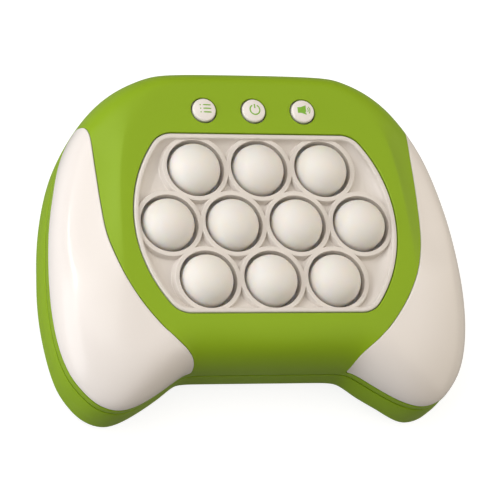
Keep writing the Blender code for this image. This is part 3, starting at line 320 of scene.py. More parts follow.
def patterned(name, base, other, size, roughness, edge_span, height):
    """Two colours in a pattern of this size; a narrow span of the noise between them gives a sharp edge."""
    material, tree, shader, place = new_material(name)
    cloud = add_node(tree, "ShaderNodeTexNoise", values={"Scale": per_metre(size), "Detail": 5.0},
                     links={"Vector": place})
    edge = add_node(tree, "ShaderNodeMapRange", values={"From Min": edge_span[0], "From Max": edge_span[1]},
                    links={"Value": cloud.outputs["Fac"]})
    tint = add_node(tree, "ShaderNodeMix", settings={"data_type": "RGBA"},
                    values={"A": colour(base), "B": colour(other)}, links={"Factor": edge.outputs["Result"]})
    bump = add_node(tree, "ShaderNodeBump", values={"Strength": PATTERN_STRENGTH, "Distance": height * MM},
                    links={"Height": cloud.outputs["Fac"]})
    tree.links.new(tint.outputs["Result"], shader.inputs["Base Color"])
    tree.links.new(bump.outputs["Normal"], shader.inputs["Normal"])
    shader.inputs["Roughness"].default_value = roughness
    return material


# Pad-printed ink: a thin, even, slightly glossy coat.
GREEN_INK = moulded_plastic("green pad-printed ink", "#7FB43A", "#7BB036", (0.30, 0.36), 0.004)
# Zinc-plated steel, bluish and fairly bright.
ZINC_STEEL = plated_metal("zinc-plated steel", "#B9BCC0", (0.24, 0.38))
# Nickel-plated spring steel, warmer and brighter.
NICKEL_STEEL = plated_metal("nickel-plated spring steel", "#C8C3B6", (0.14, 0.26))
# Shrunk PVC sleeve: a smooth blue film with a clear gloss.
CELL_SLEEVE = moulded_plastic("blue shrunk PVC film", "#2C5C8E", "#285688", (0.18, 0.24), 0.004)
# Pressed paper pulp: dark and dull. Its fibre is finer than a millimetre and is drawn at 1.1 mm.
CONE_PAPER = patterned("black paper pulp", "#232324", "#2E2D2C", 1.11, 0.85, (0.35, 0.65), 0.05)
# Glass-epoxy laminate under green solder mask, lighter where copper lies under it, in patches of 6 mm.
SOLDER_MASK = patterned("green solder mask on glass-epoxy", "#10502F", "#1B6B40", 6.25, 0.32,
                        (0.48, 0.52), 0.03)
# Epoxy moulding compound: a matt black.
CHIP_EPOXY = moulded_plastic("black epoxy moulding compound", "#1C1C1E", "#222224", (0.50, 0.58), 0.02)
# Glass-filled nylon of a switch body: black with a low sheen.
SWITCH_NYLON = moulded_plastic("black glass-filled nylon", "#202023", "#262629", (0.42, 0.50), 0.02)
# Acetal of a switch plunger: slick and waxy.
PLUNGER_ACETAL = moulded_plastic("black acetal", "#2A2A2D", "#303033", (0.24, 0.30), 0.005)
# Soft PVC insulation: red with a dull gloss.
WIRE_PVC = moulded_plastic("red soft PVC", "#B3322C", "#AA2E28", (0.38, 0.46), 0.01)
print(len(bpy.data.materials), "materials in all")

# %% [markdown]
# ## The outlines that shape the body
#
# Three lines drawn from above give the whole body: the seam between the two casings, the edge of the
# flat face, and the line between the green face and a grip cover. Each is a smooth curve through a
# few points of its right half, the same points that the solid model uses. Short steps along the
# curve are then averaged a little, so that the gloss shows no kinks. A place on the seam is named by
# a station from 0 to 1, which runs a little slower round a bend, so that bends get more columns.

# %% Outlines
SEAM = (
    (0.0, 53.8), (25.2, 53.5), (33.8, 51.9), (42.0, 48.2), (48.7, 43.0), (54.5, 36.1), (59.0, 28.4),
    (62.5, 18.6), (65.7, 4.8), (67.2, -8.9), (67.6, -21.6), (66.6, -32.8), (64.1, -41.6),
    (60.3, -47.5), (55.9, -51.8), (50.2, -53.8), (44.2, -52.6), (38.0, -49.4), (32.1, -45.6),
    (27.6, -42.8), (23.9, -42.0), (17.3, -41.9), (0.0, -41.9),
)
FACE_EDGE = (
    (0.0, 47.2), (21.9, 47.0), (28.5, 45.4), (34.4, 41.3), (38.5, 35.6), (41.1, 28.8), (42.4, 21.1),
    (43.2, 13.0), (43.6, 3.3), (44.0, -7.3), (44.4, -17.0), (44.8, -24.7), (45.0, -30.2),
    (44.8, -33.6), (44.0, -35.4), (42.5, -36.0), (40.6, -35.6), (37.9, -34.0), (34.2, -31.6),
    (30.2, -30.0), (25.5, -29.2), (17.3, -29.1), (0.0, -29.1),
)
COVER_LINE = (
    (58.6, 42.0), (55.8, 38.9), (53.6, 36.0), (52.7, 32.9), (52.4, 27.8), (52.3, 20.1), (52.1, 10.0),
    (51.5, -0.2), (50.1, -7.4), (47.5, -15.1), (43.3, -23.0), (38.1, -30.0), (33.3, -34.9),
    (29.7, -37.8), (27.0, -40.1), (24.9, -43.2), (22.9, -47.6),
)
STEPS_TO_A_POINT, STEPS_TO_A_COVER_POINT = 40, 8
BLUR_STEPS = 12
BEND_SHARE = 0.35


def smooth_line(points, steps):
    """Points on a smooth curve through the given points."""
    p = np.array(points, float)
    ends = np.vstack([2 * p[0] - p[1], p, 2 * p[-1] - p[-2]])
    line = []
    for i in range(len(p) - 1):
        a, b, c, d = ends[i:i + 4]
        for t in np.linspace(0, 1, steps, endpoint=False):
            line.append(0.5 * (2 * b + (c - a) * t + (2 * a - 5 * b + 4 * c - d) * t ** 2
                               + (3 * b - a - 3 * c + d) * t ** 3))
    return np.array(line + [p[-1]])


def blurred(line, spread):
    """Averages a right half outline along its length, with its mirror image beyond both ends."""
    mirror = np.array([-1.0, 1.0])
    reach = 3 * spread
    longer = np.vstack([(line[1:reach + 1] * mirror)[::-1], line, (line[-reach - 1:-1] * mirror)[::-1]])
    weight = np.exp(-0.5 * (np.arange(-reach, reach + 1) / spread) ** 2)
    weight /= weight.sum()
    return np.column_stack([np.convolve(longer[:, k], weight, "valid") for k in (0, 1)])


seam_line = blurred(smooth_line(SEAM, STEPS_TO_A_POINT), BLUR_STEPS)
edge_line = blurred(smooth_line(FACE_EDGE, STEPS_TO_A_POINT), BLUR_STEPS)
cover_line = smooth_line(COVER_LINE, STEPS_TO_A_COVER_POINT)
step = np.diff(seam_line, axis=0)
step_length = np.hypot(step[:, 0], step[:, 1])
heading = np.unwrap(np.arctan2(step[:, 1], step[:, 0]))
turning = np.abs(np.diff(heading, prepend=heading[0]))
stride = step_length / step_length.sum() + BEND_SHARE * turning / turning.sum()
travelled = np.concatenate([[0.0], np.cumsum(stride)])
travelled /= travelled[-1]
print("half the seam is", round(step_length.sum(), 1), "mm long")

# %% [markdown]
# ## The window
#
# The window in the face is a circle cut off straight above and below, with rounded corners. Every
# moulded edge round it is this one outline, set in or out by a few tenths of a millimetre.

# %% Window outline
WINDOW_RADIUS, WINDOW_HALF, WINDOW_CORNER = 43.1, 29.4, 8.2


def window_ring(inset, side_steps=40, corner_steps=24, flat_steps=30):
    """The window's closed outline, anticlockwise from the right, with its first point again at the end."""
    centre_y = WINDOW_HALF - WINDOW_CORNER
    centre_x = math.sqrt((WINDOW_RADIUS - WINDOW_CORNER) ** 2 - centre_y ** 2)
    corner_turn = math.atan2(centre_y, centre_x)
    side = [((WINDOW_RADIUS - inset) * math.cos(a), (WINDOW_RADIUS - inset) * math.sin(a))
            for a in np.linspace(0, corner_turn, side_steps, endpoint=False)]
    radius = WINDOW_CORNER - inset
    corner = [(centre_x + radius * math.cos(a), centre_y + radius * math.sin(a))
              for a in np.linspace(corner_turn, math.pi / 2, corner_steps)]
    flat = [(x, WINDOW_HALF - inset) for x in np.linspace(centre_x, 0, flat_steps)[1:]]
    quarter = np.array(side + corner + flat)
    half = np.vstack([quarter, quarter[-2::-1] * (-1, 1)])
    return np.vstack([half, -half[1:]]) + (0.0, WINDOW_Y)


def window_towards(points):
    """Where the lines from the window's middle to these points cross the window's outline."""
    ring = window_ring(0.0, 400, 200, 300)[:-1] - (0.0, WINDOW_Y)
    angle = np.arctan2(ring[:, 1], ring[:, 0])
    order = np.argsort(angle)
    radius = np.hypot(ring[:, 0], ring[:, 1])
    wanted = points - (0.0, WINDOW_Y)
    turn = np.arctan2(wanted[:, 1], wanted[:, 0])
    reach = np.interp(turn, angle[order], radius[order], period=2 * math.pi)
    return np.column_stack([reach * np.cos(turn), reach * np.sin(turn)]) + (0.0, WINDOW_Y)


# %% [markdown]
# ## The skin of the front
#
# Seen in section, the front rises straight from the seam, rolls over like a quarter of a rounded
# square and runs flat to the window. The face also droops towards the ends of the grips. A station
# is one such section; along it, a point is named by how far up the skin it lies and how deep under
# it. Fillets, ledges and walls are then all short lists of those two numbers.
#
# Beside the window the roll has one soft fold near its top, past which the skin falls away faster
# than a quarter round would. The fold dies out towards the grips and where the roll is narrow.

# %% Skin of the front
Z_SEAM, Z_ROLL, Z_FACE = 16.0, 18.0, 33.5
ROLL_SHARE = 0.833
FOLD_DEPTH, FOLD_PLACE, FOLD_ROUND, FOLD_FADE = 0.86, 0.14, 0.07, 1.5
FOLD_ENDS_Y, FOLD_FULL_Y = -24.0, 4.0
NARROW_ROLL, WIDE_ROLL = 12.0, 19.0
WALL_ROWS, ROLL_ROWS, FACE_ROWS, RISING_ROWS = 8, 120, 61, 100
GRIP_DROP = 8.0
DROOP_START = np.array([40.76, -18.56])
DROOP_ALONG = np.array([55.50, -50.63]) - DROOP_START


def grip_share(plan):
    """How far along a grip a point lies, from nothing where it starts to one at its end."""
    from_start = np.stack([np.abs(plan[..., 0]), plan[..., 1]], axis=-1) - DROOP_START
    return np.maximum(from_start @ DROOP_ALONG / (DROOP_ALONG @ DROOP_ALONG), 0.0)


def smooth_step(value):
    """A soft step from 0 to 1 as the value goes from 0 to 1."""
    t = np.clip(value, 0.0, 1.0)
    return t * t * (3 - 2 * t)


def section_points(seam, edge, window):
    """Points up the skin at each station: straight wall, roll, then the face to the window."""
    wall_z = np.linspace(Z_SEAM, Z_ROLL, WALL_ROWS + 1)[:-1]
    wall = [np.column_stack([seam, np.full(len(seam), z)]) for z in wall_z]
    fold = FOLD_DEPTH * smooth_step((np.hypot(*(seam - edge).T) - NARROW_ROLL) / (WIDE_ROLL - NARROW_ROLL))
    fold = fold * smooth_step((seam[:, 1] - FOLD_ENDS_Y) / (FOLD_FULL_Y - FOLD_ENDS_Y))
    roll = []
    for a in np.linspace(0, math.pi / 2, ROLL_ROWS + 1)[:-1]:
        out = math.cos(a) ** ROLL_SHARE
        plan = edge + (seam - edge) * out
        rise = Z_FACE - Z_ROLL - GRIP_DROP * grip_share(plan) ** 2
        past = max(0.0, (out - FOLD_PLACE) / (1 - FOLD_PLACE))
        softened = math.sqrt(past ** 2 + FOLD_ROUND ** 2) - FOLD_ROUND
        height = math.sin(a) ** ROLL_SHARE - fold * softened * (1 - past) ** FOLD_FADE
        roll.append(np.column_stack([plan, Z_ROLL + rise * height]))
    face = []
    for t in np.linspace(0, 1, FACE_ROWS):
        plan = edge + (window - edge) * t
        face.append(np.column_stack([plan, Z_FACE - GRIP_DROP * grip_share(plan) ** 2]))
    return np.array(wall + roll + face)


class Skin:
    """The front's outer surface at chosen stations of its right half, measured along each section."""

    def __init__(self, stations):
        self.stations = np.asarray(stations)
        seam = np.column_stack([np.interp(stations, travelled, seam_line[:, k]) for k in (0, 1)])
        edge = np.column_stack([np.interp(stations, travelled, edge_line[:, k]) for k in (0, 1)])
        self.seam, self.edge = seam, edge
        self.points = section_points(seam, edge, window_towards(edge))
        up = np.gradient(self.points, axis=0)
        along = np.gradient(self.points, self.stations, axis=1)
        along[:, [0, -1], 1:] = 0.0
        normal = np.cross(up, along)
        self.normal = normal / np.linalg.norm(normal, axis=2)[..., None]
        if self.normal[..., 2].mean() < 0:
            self.normal = -self.normal
        gaps = np.linalg.norm(np.diff(self.points, axis=0), axis=2)
        self.length = np.vstack([np.zeros(len(seam)), np.cumsum(gaps, axis=0)])

    def at(self, length, depth):
        """The points that lie this far up the skin and this deep under it, one for each station."""
        length = np.broadcast_to(length, self.seam[:, 0].shape)
        depth = np.broadcast_to(depth, length.shape)
        row = np.empty((len(length), 3))
        for s in range(len(length)):
            for k in range(3):
                row[s, k] = (np.interp(length[s], self.length[:, s], self.points[:, s, k])
                             - depth[s] * np.interp(length[s], self.length[:, s], self.normal[:, s, k]))
        return row

    def length_at_height(self, z):
        """How far up the skin this height is reached, for heights near the seam."""
        heights = np.broadcast_to(z, self.seam[:, 0].shape)
        return np.array([np.interp(height, self.points[:RISING_ROWS, s, 2], self.length[:RISING_ROWS, s])
                         for s, height in enumerate(heights)])


# %% [markdown]
# ## Where a cover ends
#
# Above, a cover ends at the line drawn on the face; below, at a ledge just over the seam, which dips
# towards the cover's upper tip. Both are turned into lengths up the skin, one for each section, so
# that the cover and its recess can share them. A first fine set of sections shows how wide it gets.

# %% Cover edges
LEDGE_HEIGHT, COVER_GAP = 18.5, 0.3
LEDGE_DIP, DIP_START, DIP_END = 1.9, 14.0, 34.0
TRIAL_START, TRIAL_END, TRIAL_COUNT = 0.2, 0.95, 451
SAME_DISTANCE = 1e-9


def beside_line(plan):
    """Distance of points from the cover's line in plan: below nothing on the cover's side."""
    start, end = cover_line[:-1], cover_line[1:]
    along = end - start
    best = np.full(plan.shape[:-1], np.inf)
    signed = np.zeros(plan.shape[:-1])
    for a, d in zip(start, along):
        t = np.clip(((plan - a) @ d) / (d @ d), 0, 1)
        off = plan - a - t[..., None] * d
        distance = np.hypot(off[..., 0], off[..., 1])
        side = np.sign(off[..., 0] * -d[1] + off[..., 1] * d[0])
        nearer = distance < best - SAME_DISTANCE
        signed = np.where(nearer, distance * -side, signed)
        best = np.minimum(best, distance)
    return signed


def cover_top(skin):
    """How far up the skin each section crosses the cover's line; nothing where it has no cover."""
    beside = beside_line(skin.points[..., :2])
    tops = []
    for s in range(len(skin.seam)):
        inside = beside[:, s] < 0
        if not inside[0]:
            tops.append(0.0)
            continue
        last = int(np.argmax(~inside))
        share = beside[last - 1, s] / (beside[last - 1, s] - beside[last, s])
        tops.append(skin.length[last - 1, s] + share * (skin.length[last, s] - skin.length[last - 1, s]))
    return np.array(tops)


def dip(seam):
    """How far the cover's lower edge has run down to the seam: not at all, or fully near its upper tip."""
    return smooth_step((seam[:, 1] - DIP_START) / (DIP_END - DIP_START))


trial = Skin(np.linspace(TRIAL_START, TRIAL_END, TRIAL_COUNT))
trial_low = trial.length_at_height(LEDGE_HEIGHT + COVER_GAP - LEDGE_DIP * dip(trial.seam))
trial_height = cover_top(trial) - COVER_GAP / 2 - trial_low
print("the cover is up to", round(trial_height.max(), 1), "mm wide, measured up the skin")

# %% [markdown]
# ## Where the columns of the mesh stand
#
# A grip cover is let into the front: the front has a recess for it, 0.3 mm larger all round, and both
# end in a small round tip. The columns of the mesh crowd together towards those tips, so that the
# rounding is true there.

# %% Stations and cover edges
COVER_THICKNESS = 1.6
TIP_HEIGHT, TIP_LENGTH = 1.1, 1.0
MM_PER_STATION = step_length.sum()
UPPER_COLUMNS, COVER_COLUMNS, ARCH_COLUMNS = 40, 200, 36


def crowded(start, end, count):
    """Numbers from start to end that crowd together at both."""
    return start + (end - start) * (1 - np.cos(np.linspace(0, math.pi, count))) / 2


def cover_band(skin, tips, gap):
    """Lower and upper edge of a cover, or of its recess, and its roundness from 0 at a tip to 1."""
    low = skin.length_at_height(LEDGE_HEIGHT + COVER_GAP - 2 * gap - LEDGE_DIP * dip(skin.seam))
    top = np.maximum(cover_top(skin) - COVER_GAP / 2 + gap, low)
    beyond = np.minimum(skin.stations - tips[0], tips[1] - skin.stations)
    round_length = (TIP_LENGTH + gap) / MM_PER_STATION
    share = np.clip((beyond + gap / MM_PER_STATION) / round_length, 0, 1)
    roundness = np.sqrt(np.maximum(1 - (1 - share) ** 2, 0.0))
    middle, half = (low + top) / 2, (top - low) / 2 * roundness
    return middle - half, middle + half, roundness


tall_enough = np.nonzero(trial_height > TIP_HEIGHT)[0]
TIPS = trial.stations[[tall_enough[0], tall_enough[-1]]]
tip_gap = COVER_GAP / MM_PER_STATION
body_stations = np.unique(np.concatenate([
    np.linspace(0, TIPS[0] - 2 * tip_gap, UPPER_COLUMNS),
    crowded(TIPS[0] - tip_gap, TIPS[1] + tip_gap, COVER_COLUMNS),
    np.linspace(TIPS[1] + 2 * tip_gap, 1, ARCH_COLUMNS)]))
body_skin = Skin(body_stations)
window_length = body_skin.length[-1]
print("cover tips at stations", TIPS.round(4), "and", len(body_stations), "stations in half the body")


def all_round(row):
    """A right half row, top middle to bottom middle, with its mirror image, as a closed row."""
    return np.vstack([row, row[-2:0:-1] * (-1, 1, 1), row[:1]])


# %% [markdown]
# ## Front shell
#
# The front shell is one closed sheet: up the outside, down into the recess for a grip cover and out
# again, over the face to the window, and back along the inside to the seam. Each row is given by how
# far up the skin it lies and how deep. Outer corners get three rows each for their small radius,
# because a real moulding has no sharp edge, and the thin line of light along it is what the eye sees.
# Under a cover the wall is thicker, so that the recess leaves enough of it.

# %% Front shell
WALL, PAD_DEPTH, REBATE_DEPTH, REBATE_HEIGHT = 2.0, 3.6, 1.0, 1.5
REBATE_LOWERED = 1.2
EDGE_RADIUS, RECESS_RADIUS = 0.3, 0.16
CORNER_MIDDLE = 0.3
PAD_START, PAD_END = 3.0, 2.0


def rounded_steps(radius, steps=3):
    """Along and down from a sharp corner: the points of a quarter round of this radius."""
    turn = np.linspace(0, math.pi / 2, steps + 1)
    return [(radius * (1 - math.sin(a)), radius * (1 - math.cos(a))) for a in turn]


recess_low, recess_top, recess_round = cover_band(body_skin, TIPS, COVER_GAP / 2)
recess_depth = (COVER_THICKNESS + COVER_GAP) * recess_round
soft = RECESS_RADIUS * recess_round
none = 0.0 * soft
pad = WALL + (PAD_DEPTH - WALL) * recess_round
edge_middle = CORNER_MIDDLE * EDGE_RADIUS
outside = [(0.0, EDGE_RADIUS), (edge_middle, edge_middle), (EDGE_RADIUS, 0.0)]
outside += [(EDGE_RADIUS + (recess_low - soft - EDGE_RADIUS) * t, 0.0) for t in (0.33, 0.67)]
outside += [(recess_low - along, down) for along, down in
            [(soft, none), (soft * CORNER_MIDDLE, soft * CORNER_MIDDLE), (none, soft)]]
recess = [(recess_low, recess_depth * 0.5), (recess_low, recess_depth)]
recess += [(recess_low + (recess_top - recess_low) * t, recess_depth) for t in np.linspace(0, 1, 13)[1:]]
recess += [(recess_top, recess_depth * 0.5)]
recess += [(recess_top + along, down) for along, down in
           [(none, soft), (soft * CORNER_MIDDLE, soft * CORNER_MIDDLE), (soft, none)]]
face_start = recess_top + 0.3
face_end = window_length - EDGE_RADIUS - 0.1
face = [(face_start + (face_end - face_start) * t, 0.0) for t in np.linspace(0, 1, 64)]
face += [(window_length - along, down) for along, down in rounded_steps(EDGE_RADIUS)]
inside = [(window_length, WALL)]
inside += [(window_length + (recess_top + PAD_START - window_length) * t, WALL)
           for t in np.linspace(0, 1, 20)[1:]]
rebate = REBATE_HEIGHT - REBATE_LOWERED * dip(body_skin.seam)
inside += [(recess_top + PAD_END + (rebate - recess_top - PAD_END) * t, pad) for t in np.linspace(0, 1, 20)]
inside += [(rebate, REBATE_DEPTH), (0.0, REBATE_DEPTH), (0.0, EDGE_RADIUS)]
shell_rows = [all_round(body_skin.at(length, depth)) for length, depth in outside + recess + face + inside]
front_shell = laid("front_shell", shell_rows)
print("front shell", len(front_shell.data.polygons), "faces")

# %% [markdown]
# ## Holes with a softened rim
#
# A hole is cut with a plug whose upper end flares out like a trumpet, so the hole's rim comes out
# rounded without a bevel on the cut mesh, where short edges would spoil it.

# %% Flared plugs
BUTTON_HOLE, BUTTON_PITCH, BUTTON_Y = 4.2, 16.3, 38.6
HOLE_RIM, PLUG_LOW, PAST_FACE = 0.25, 28.0, 1.0


def flared_plug(name, radius, low, top, rim, place):
    """A round cutter that leaves a rounded rim at height top."""
    outline = [(0.0, low), (radius, low), (radius, top - rim)]
    outline += [(radius + rim * (1 - math.cos(a)), top - rim + rim * math.sin(a))
                for a in np.linspace(0, math.pi / 2, 6)[1:]]
    outline += [(radius + rim, top + PAST_FACE), (0.0, top + PAST_FACE)]
    return spun(name, outline, place)


button_places = {"mode": (-BUTTON_PITCH, BUTTON_Y), "power": (0.0, BUTTON_Y),
                 "sound": (BUTTON_PITCH, BUTTON_Y)}
plugs = [flared_plug(f"{use}_plug", BUTTON_HOLE, PLUG_LOW, Z_FACE, HOLE_RIM, place)
         for use, place in button_places.items()]
combined(front_shell, merged_copies("button_plugs", plugs))
print("front shell with its button holes", len(front_shell.data.polygons), "faces")

# %% [markdown]
# ## Grip covers
#
# Each cover is a thin, glossy, separate moulding that lies in its recess level with the green around
# it. It could be cut out of a copy of the front, but then its edge would be as ragged as the cut. So
# it is laid as the same skin between two edges, with its own small radii and a thickness of 1.6 mm;
# the left one is the mirror image of the right one.

# %% Grip covers
COVER_EDGE, WIDEST_EDGE = 0.45, 0.45
OUTER_ROWS, INNER_ROWS, RIGHT_COLUMNS = 60, 24, 220


def cover_rows(stations, edge):
    """The rows round a cover's section: outside from the lower to the upper edge, then the inside."""
    skin = Skin(stations)
    low, top, roundness = cover_band(skin, TIPS, 0.0)
    soft = np.minimum(edge, (top - low) * WIDEST_EDGE)
    thick = COVER_THICKNESS * np.sqrt(roundness)
    rows = [(low + along / edge * soft, np.minimum(down / edge * soft, thick)) for along, down in
            rounded_steps(edge, 5)[::-1]]
    rows += [(low + soft + (top - low - 2 * soft) * t, 0.0) for t in np.linspace(0, 1, OUTER_ROWS)[1:-1]]
    rows += [(top - along / edge * soft, np.minimum(down / edge * soft, thick)) for along, down in
             rounded_steps(edge, 5)]
    rows += [(top, thick)]
    rows += [(top + (low - top) * t, thick) for t in np.linspace(0, 1, INNER_ROWS)[1:]]
    rows += [(low, soft)]
    return np.array([skin.at(length, depth) for length, depth in rows])


right_rows = cover_rows(crowded(TIPS[0], TIPS[1], RIGHT_COLUMNS), COVER_EDGE)
covers = {"right": laid("right_cover", right_rows), "left": laid("left_cover", right_rows * (-1, 1, 1))}
print("each cover has", len(covers["right"].data.polygons), "faces")

# %% [markdown]
# ## Bubble panel
#
# The panel is a shallow tray that shows in the window: a narrow rounded rim, a hollow slope down to
# the floor, and ten round collars whose bores the bubbles stand in. The tray's section is drawn once
# and run round the window's outline. The collars are spun, and joined to the floor one by one, so
# that where two meet they run into each other as in the real moulding.

# %% Bubble panel
Z_FLOOR, Z_PANEL_UNDER, Z_FLANGE_UNDER, Z_FLANGE_TOP = 30.4, 27.5, 30.0, 31.2
RIM_WIDTH, RIM_ROUND, COVE_WIDTH, PANEL_FLANGE = 1.6, 0.55, 4.2, 2.2
COLLAR_RADIUS, BORE_RADIUS, FLOOR_HOLE = 10.75, 9.25, 9.6
COLLAR_DRAFT, COLLAR_FOOT, LIP_ROUND, BORE_ROUND, COLLAR_LAP = 0.35, 0.5, 0.3, 0.2, 0.4
BUBBLE_PITCH, ROW_PITCH = 20.9, 18.1
bubble_places = [(BUBBLE_PITCH * (i - (count - 1) / 2), WINDOW_Y + ROW_PITCH * (1 - row))
                 for row, count in enumerate((3, 4, 3)) for i in range(count)]


def closed_flats(piece):
    """Fills the open loops of a mesh with flat faces and turns everything outwards."""
    return in_edit_mode(piece, (bpy.ops.mesh.fill_holes, {"sides": 0}),
                        (bpy.ops.mesh.normals_make_consistent, OUTWARDS))


rim_out, rim_in = COVER_GAP, COVER_GAP + RIM_WIDTH
z_cove = Z_FACE - RIM_ROUND
tray = [(rim_out, Z_PANEL_UNDER), (rim_out, Z_FLANGE_UNDER), (-PANEL_FLANGE, Z_FLANGE_UNDER),
        (-PANEL_FLANGE, Z_FLANGE_TOP), (rim_out, Z_FLANGE_TOP)]
tray += [(rim_out + along, Z_FACE - down) for along, down in rounded_steps(RIM_ROUND, 5)[::-1]]
tray += [(rim_in - along, Z_FACE - down) for along, down in rounded_steps(RIM_ROUND, 5)]
tray += [(rim_in + COVE_WIDTH * (1 - math.cos(a)), z_cove - (z_cove - Z_FLOOR) * math.sin(a))
         for a in np.linspace(0, math.pi / 2, 15)[1:]]
rings = [np.column_stack([window_ring(inset), np.full(len(window_ring(inset)), z)]) for inset, z in tray]
panel = closed_flats(laid("panel", rings))
print("tray", len(panel.data.polygons), "faces")


def collar_outline():
    """Closed half section of a collar: draft on its outer wall, small rounds at its lip and its bore."""
    foot = [(COLLAR_RADIUS + COLLAR_DRAFT + COLLAR_FOOT * (1 - math.sin(a)),
             Z_FLOOR + COLLAR_FOOT * (1 - math.cos(a))) for a in np.linspace(0, math.pi / 2, 5)]
    lip = [(COLLAR_RADIUS - LIP_ROUND * (1 - math.cos(a)), PANEL_TOP - LIP_ROUND * (1 - math.sin(a)))
           for a in np.linspace(0, math.pi / 2, 6)]
    bore = [(BORE_RADIUS + BORE_ROUND * (1 - math.sin(a)), PANEL_TOP - BORE_ROUND * (1 - math.cos(a)))
            for a in np.linspace(0, math.pi / 2, 5)]
    below, in_floor = Z_PANEL_UNDER - 0.05, Z_FLOOR - COLLAR_LAP
    return ([(BORE_RADIUS, below), (FLOOR_HOLE + COLLAR_LAP, below), (FLOOR_HOLE + COLLAR_LAP, in_floor),
             (COLLAR_RADIUS + COLLAR_DRAFT + COLLAR_FOOT, in_floor)]
            + foot + lip + bore + [(BORE_RADIUS, below)])


z_hole = Z_PANEL_UNDER - 1.5
holes = [spun(f"hole_{i}", [(0.0, z_hole), (FLOOR_HOLE, z_hole), (FLOOR_HOLE, Z_FACE), (0.0, Z_FACE)], place)
         for i, place in enumerate(bubble_places)]
combined(panel, merged_copies("holes", holes))
for i, place in enumerate(bubble_places):
    combined(panel, spun(f"collar_{i}", collar_outline(), place), "UNION")
print("panel", len(panel.data.polygons), "faces")

# %% [markdown]
# ## Bubbles
#
# A bubble is a hollow silicone dome on a short round wall, with a flange that laps under its collar
# and a plunger in its middle. A squashed ball would have none of these, so half its section is drawn
# and spun. The dome is a little flatter than a half ball, as in the picture.

# %% Bubbles
DOME_RADIUS, BUBBLE_BASE, BUBBLE_CROWN, BUBBLE_WALL = 8.15, 31.0, 6.5, 1.0
SHEET_TOP, SHEET_UNDER = 27.2, 26.2
FLANGE_RADIUS, DOME_FOOT, PLUNGER_RADIUS = 9.6, 0.35, 2.0


def bubble_outline():
    """Half section of a bubble, from its crown outside, round the flange and back inside."""
    outer = [(DOME_RADIUS * math.sin(a), BUBBLE_BASE + BUBBLE_CROWN * math.cos(a))
             for a in np.linspace(0, math.pi / 2, 33)]
    foot = [(DOME_RADIUS + DOME_FOOT * (1 - math.sin(a)), SHEET_TOP + DOME_FOOT * (1 - math.cos(a)))
            for a in np.linspace(0, math.pi / 2, 5)][::-1]
    inner_radius, inner_crown = DOME_RADIUS - BUBBLE_WALL, BUBBLE_CROWN - BUBBLE_WALL
    first = math.asin(PLUNGER_RADIUS / inner_radius)
    inner = [(inner_radius * math.sin(a), BUBBLE_BASE + inner_crown * math.cos(a))
             for a in np.linspace(math.pi / 2, first, 17)]
    return (outer + foot + [(FLANGE_RADIUS, SHEET_TOP), (FLANGE_RADIUS, SHEET_UNDER),
                            (inner_radius, SHEET_UNDER)] + inner
            + [(PLUNGER_RADIUS, SHEET_UNDER), (0.0, SHEET_UNDER)])


bubbles = [spun(f"dome_{i + 1}", bubble_outline(), place) for i, place in enumerate(bubble_places)]
print(len(bubbles), "bubbles")

# %% [markdown]
# ## Buttons
#
# Three low caps of gloss plastic stand in the face, each on a post over its switch, and a flange
# behind the face keeps them in. The crown is so low that a bevelled disc would look flat, so half the
# section is drawn and spun here too.

# %% Buttons
CAP_RADIUS, CAP_TOP, CAP_CROWN, CAP_EDGE = 3.75, 34.6, 0.3, 0.7
CAP_FLANGE, POST_RADIUS = 5.2, 1.5
Z_CAP_FLANGE, CAP_FLANGE_THICKNESS, Z_POST = 31.2, 1.0, 27.9


def button_outline():
    """Half section of a button: crowned top, wall, flange behind the face, and its post."""
    flat = CAP_RADIUS - CAP_EDGE
    crown = [(flat * t, CAP_TOP - CAP_CROWN * t ** 2) for t in np.linspace(0, 1, 12)]
    crown += [(flat + CAP_EDGE * math.sin(a), CAP_TOP - CAP_CROWN - CAP_EDGE * (1 - math.cos(a)))
              for a in np.linspace(0.08, math.pi / 2, 9)]
    z_under = Z_CAP_FLANGE - CAP_FLANGE_THICKNESS
    return crown + [(CAP_RADIUS, Z_CAP_FLANGE), (CAP_FLANGE, Z_CAP_FLANGE), (CAP_FLANGE, z_under),
                    (POST_RADIUS, z_under), (POST_RADIUS, Z_POST), (0.0, Z_POST)]


caps = {use: spun(f"{use}_cap", button_outline(), place) for use, place in button_places.items()}
print(len(caps), "buttons")

# %% [markdown]
# ## Marks on the buttons
#
# Each button carries a plain sign in green ink: a list for the game, a bar in an open ring for power,
# a horn with two waves for sound. Painted in the material, they would need a picture or a long chain
# of nodes. So a stroke of ink is a thin strip laid along a short route on the crowned cap, two
# hundredths of a millimetre proud of it.

# %% Button marks
INK_PROUD, INK_DEPTH = 0.02, 0.12
LINE_WIDTH, WAVE_WIDTH = 0.42, 0.28


def stroke(name, route, width, place):
    """A strip of ink along a route of (x, y) points round a button's middle; width may vary along it."""
    route = np.asarray(route, float)
    ahead = np.gradient(route, axis=0)
    ahead /= np.hypot(ahead[:, 0], ahead[:, 1])[:, None]
    sideways = np.column_stack([-ahead[:, 1], ahead[:, 0]]) * np.broadcast_to(width, len(route))[:, None] / 2
    left, right = route + sideways, route - sideways
    rows = []
    for points, lift in ((left, -INK_DEPTH), (left, INK_PROUD), (route, INK_PROUD), (right, INK_PROUD),
                         (right, -INK_DEPTH), (route, -INK_DEPTH), (left, -INK_DEPTH)):
        from_middle = np.hypot(points[:, 0], points[:, 1]) / (CAP_RADIUS - CAP_EDGE)
        rows.append(np.column_stack([points + place, CAP_TOP - CAP_CROWN * from_middle ** 2 + lift]))
    return closed_flats(laid(name, rows))


def bow(middle, radius, start, end, steps=40):
    """Points on a round arc between two turns in degrees."""
    turns = np.radians(np.linspace(start, end, steps))
    return np.column_stack([middle[0] + radius * np.cos(turns), middle[1] + radius * np.sin(turns)])


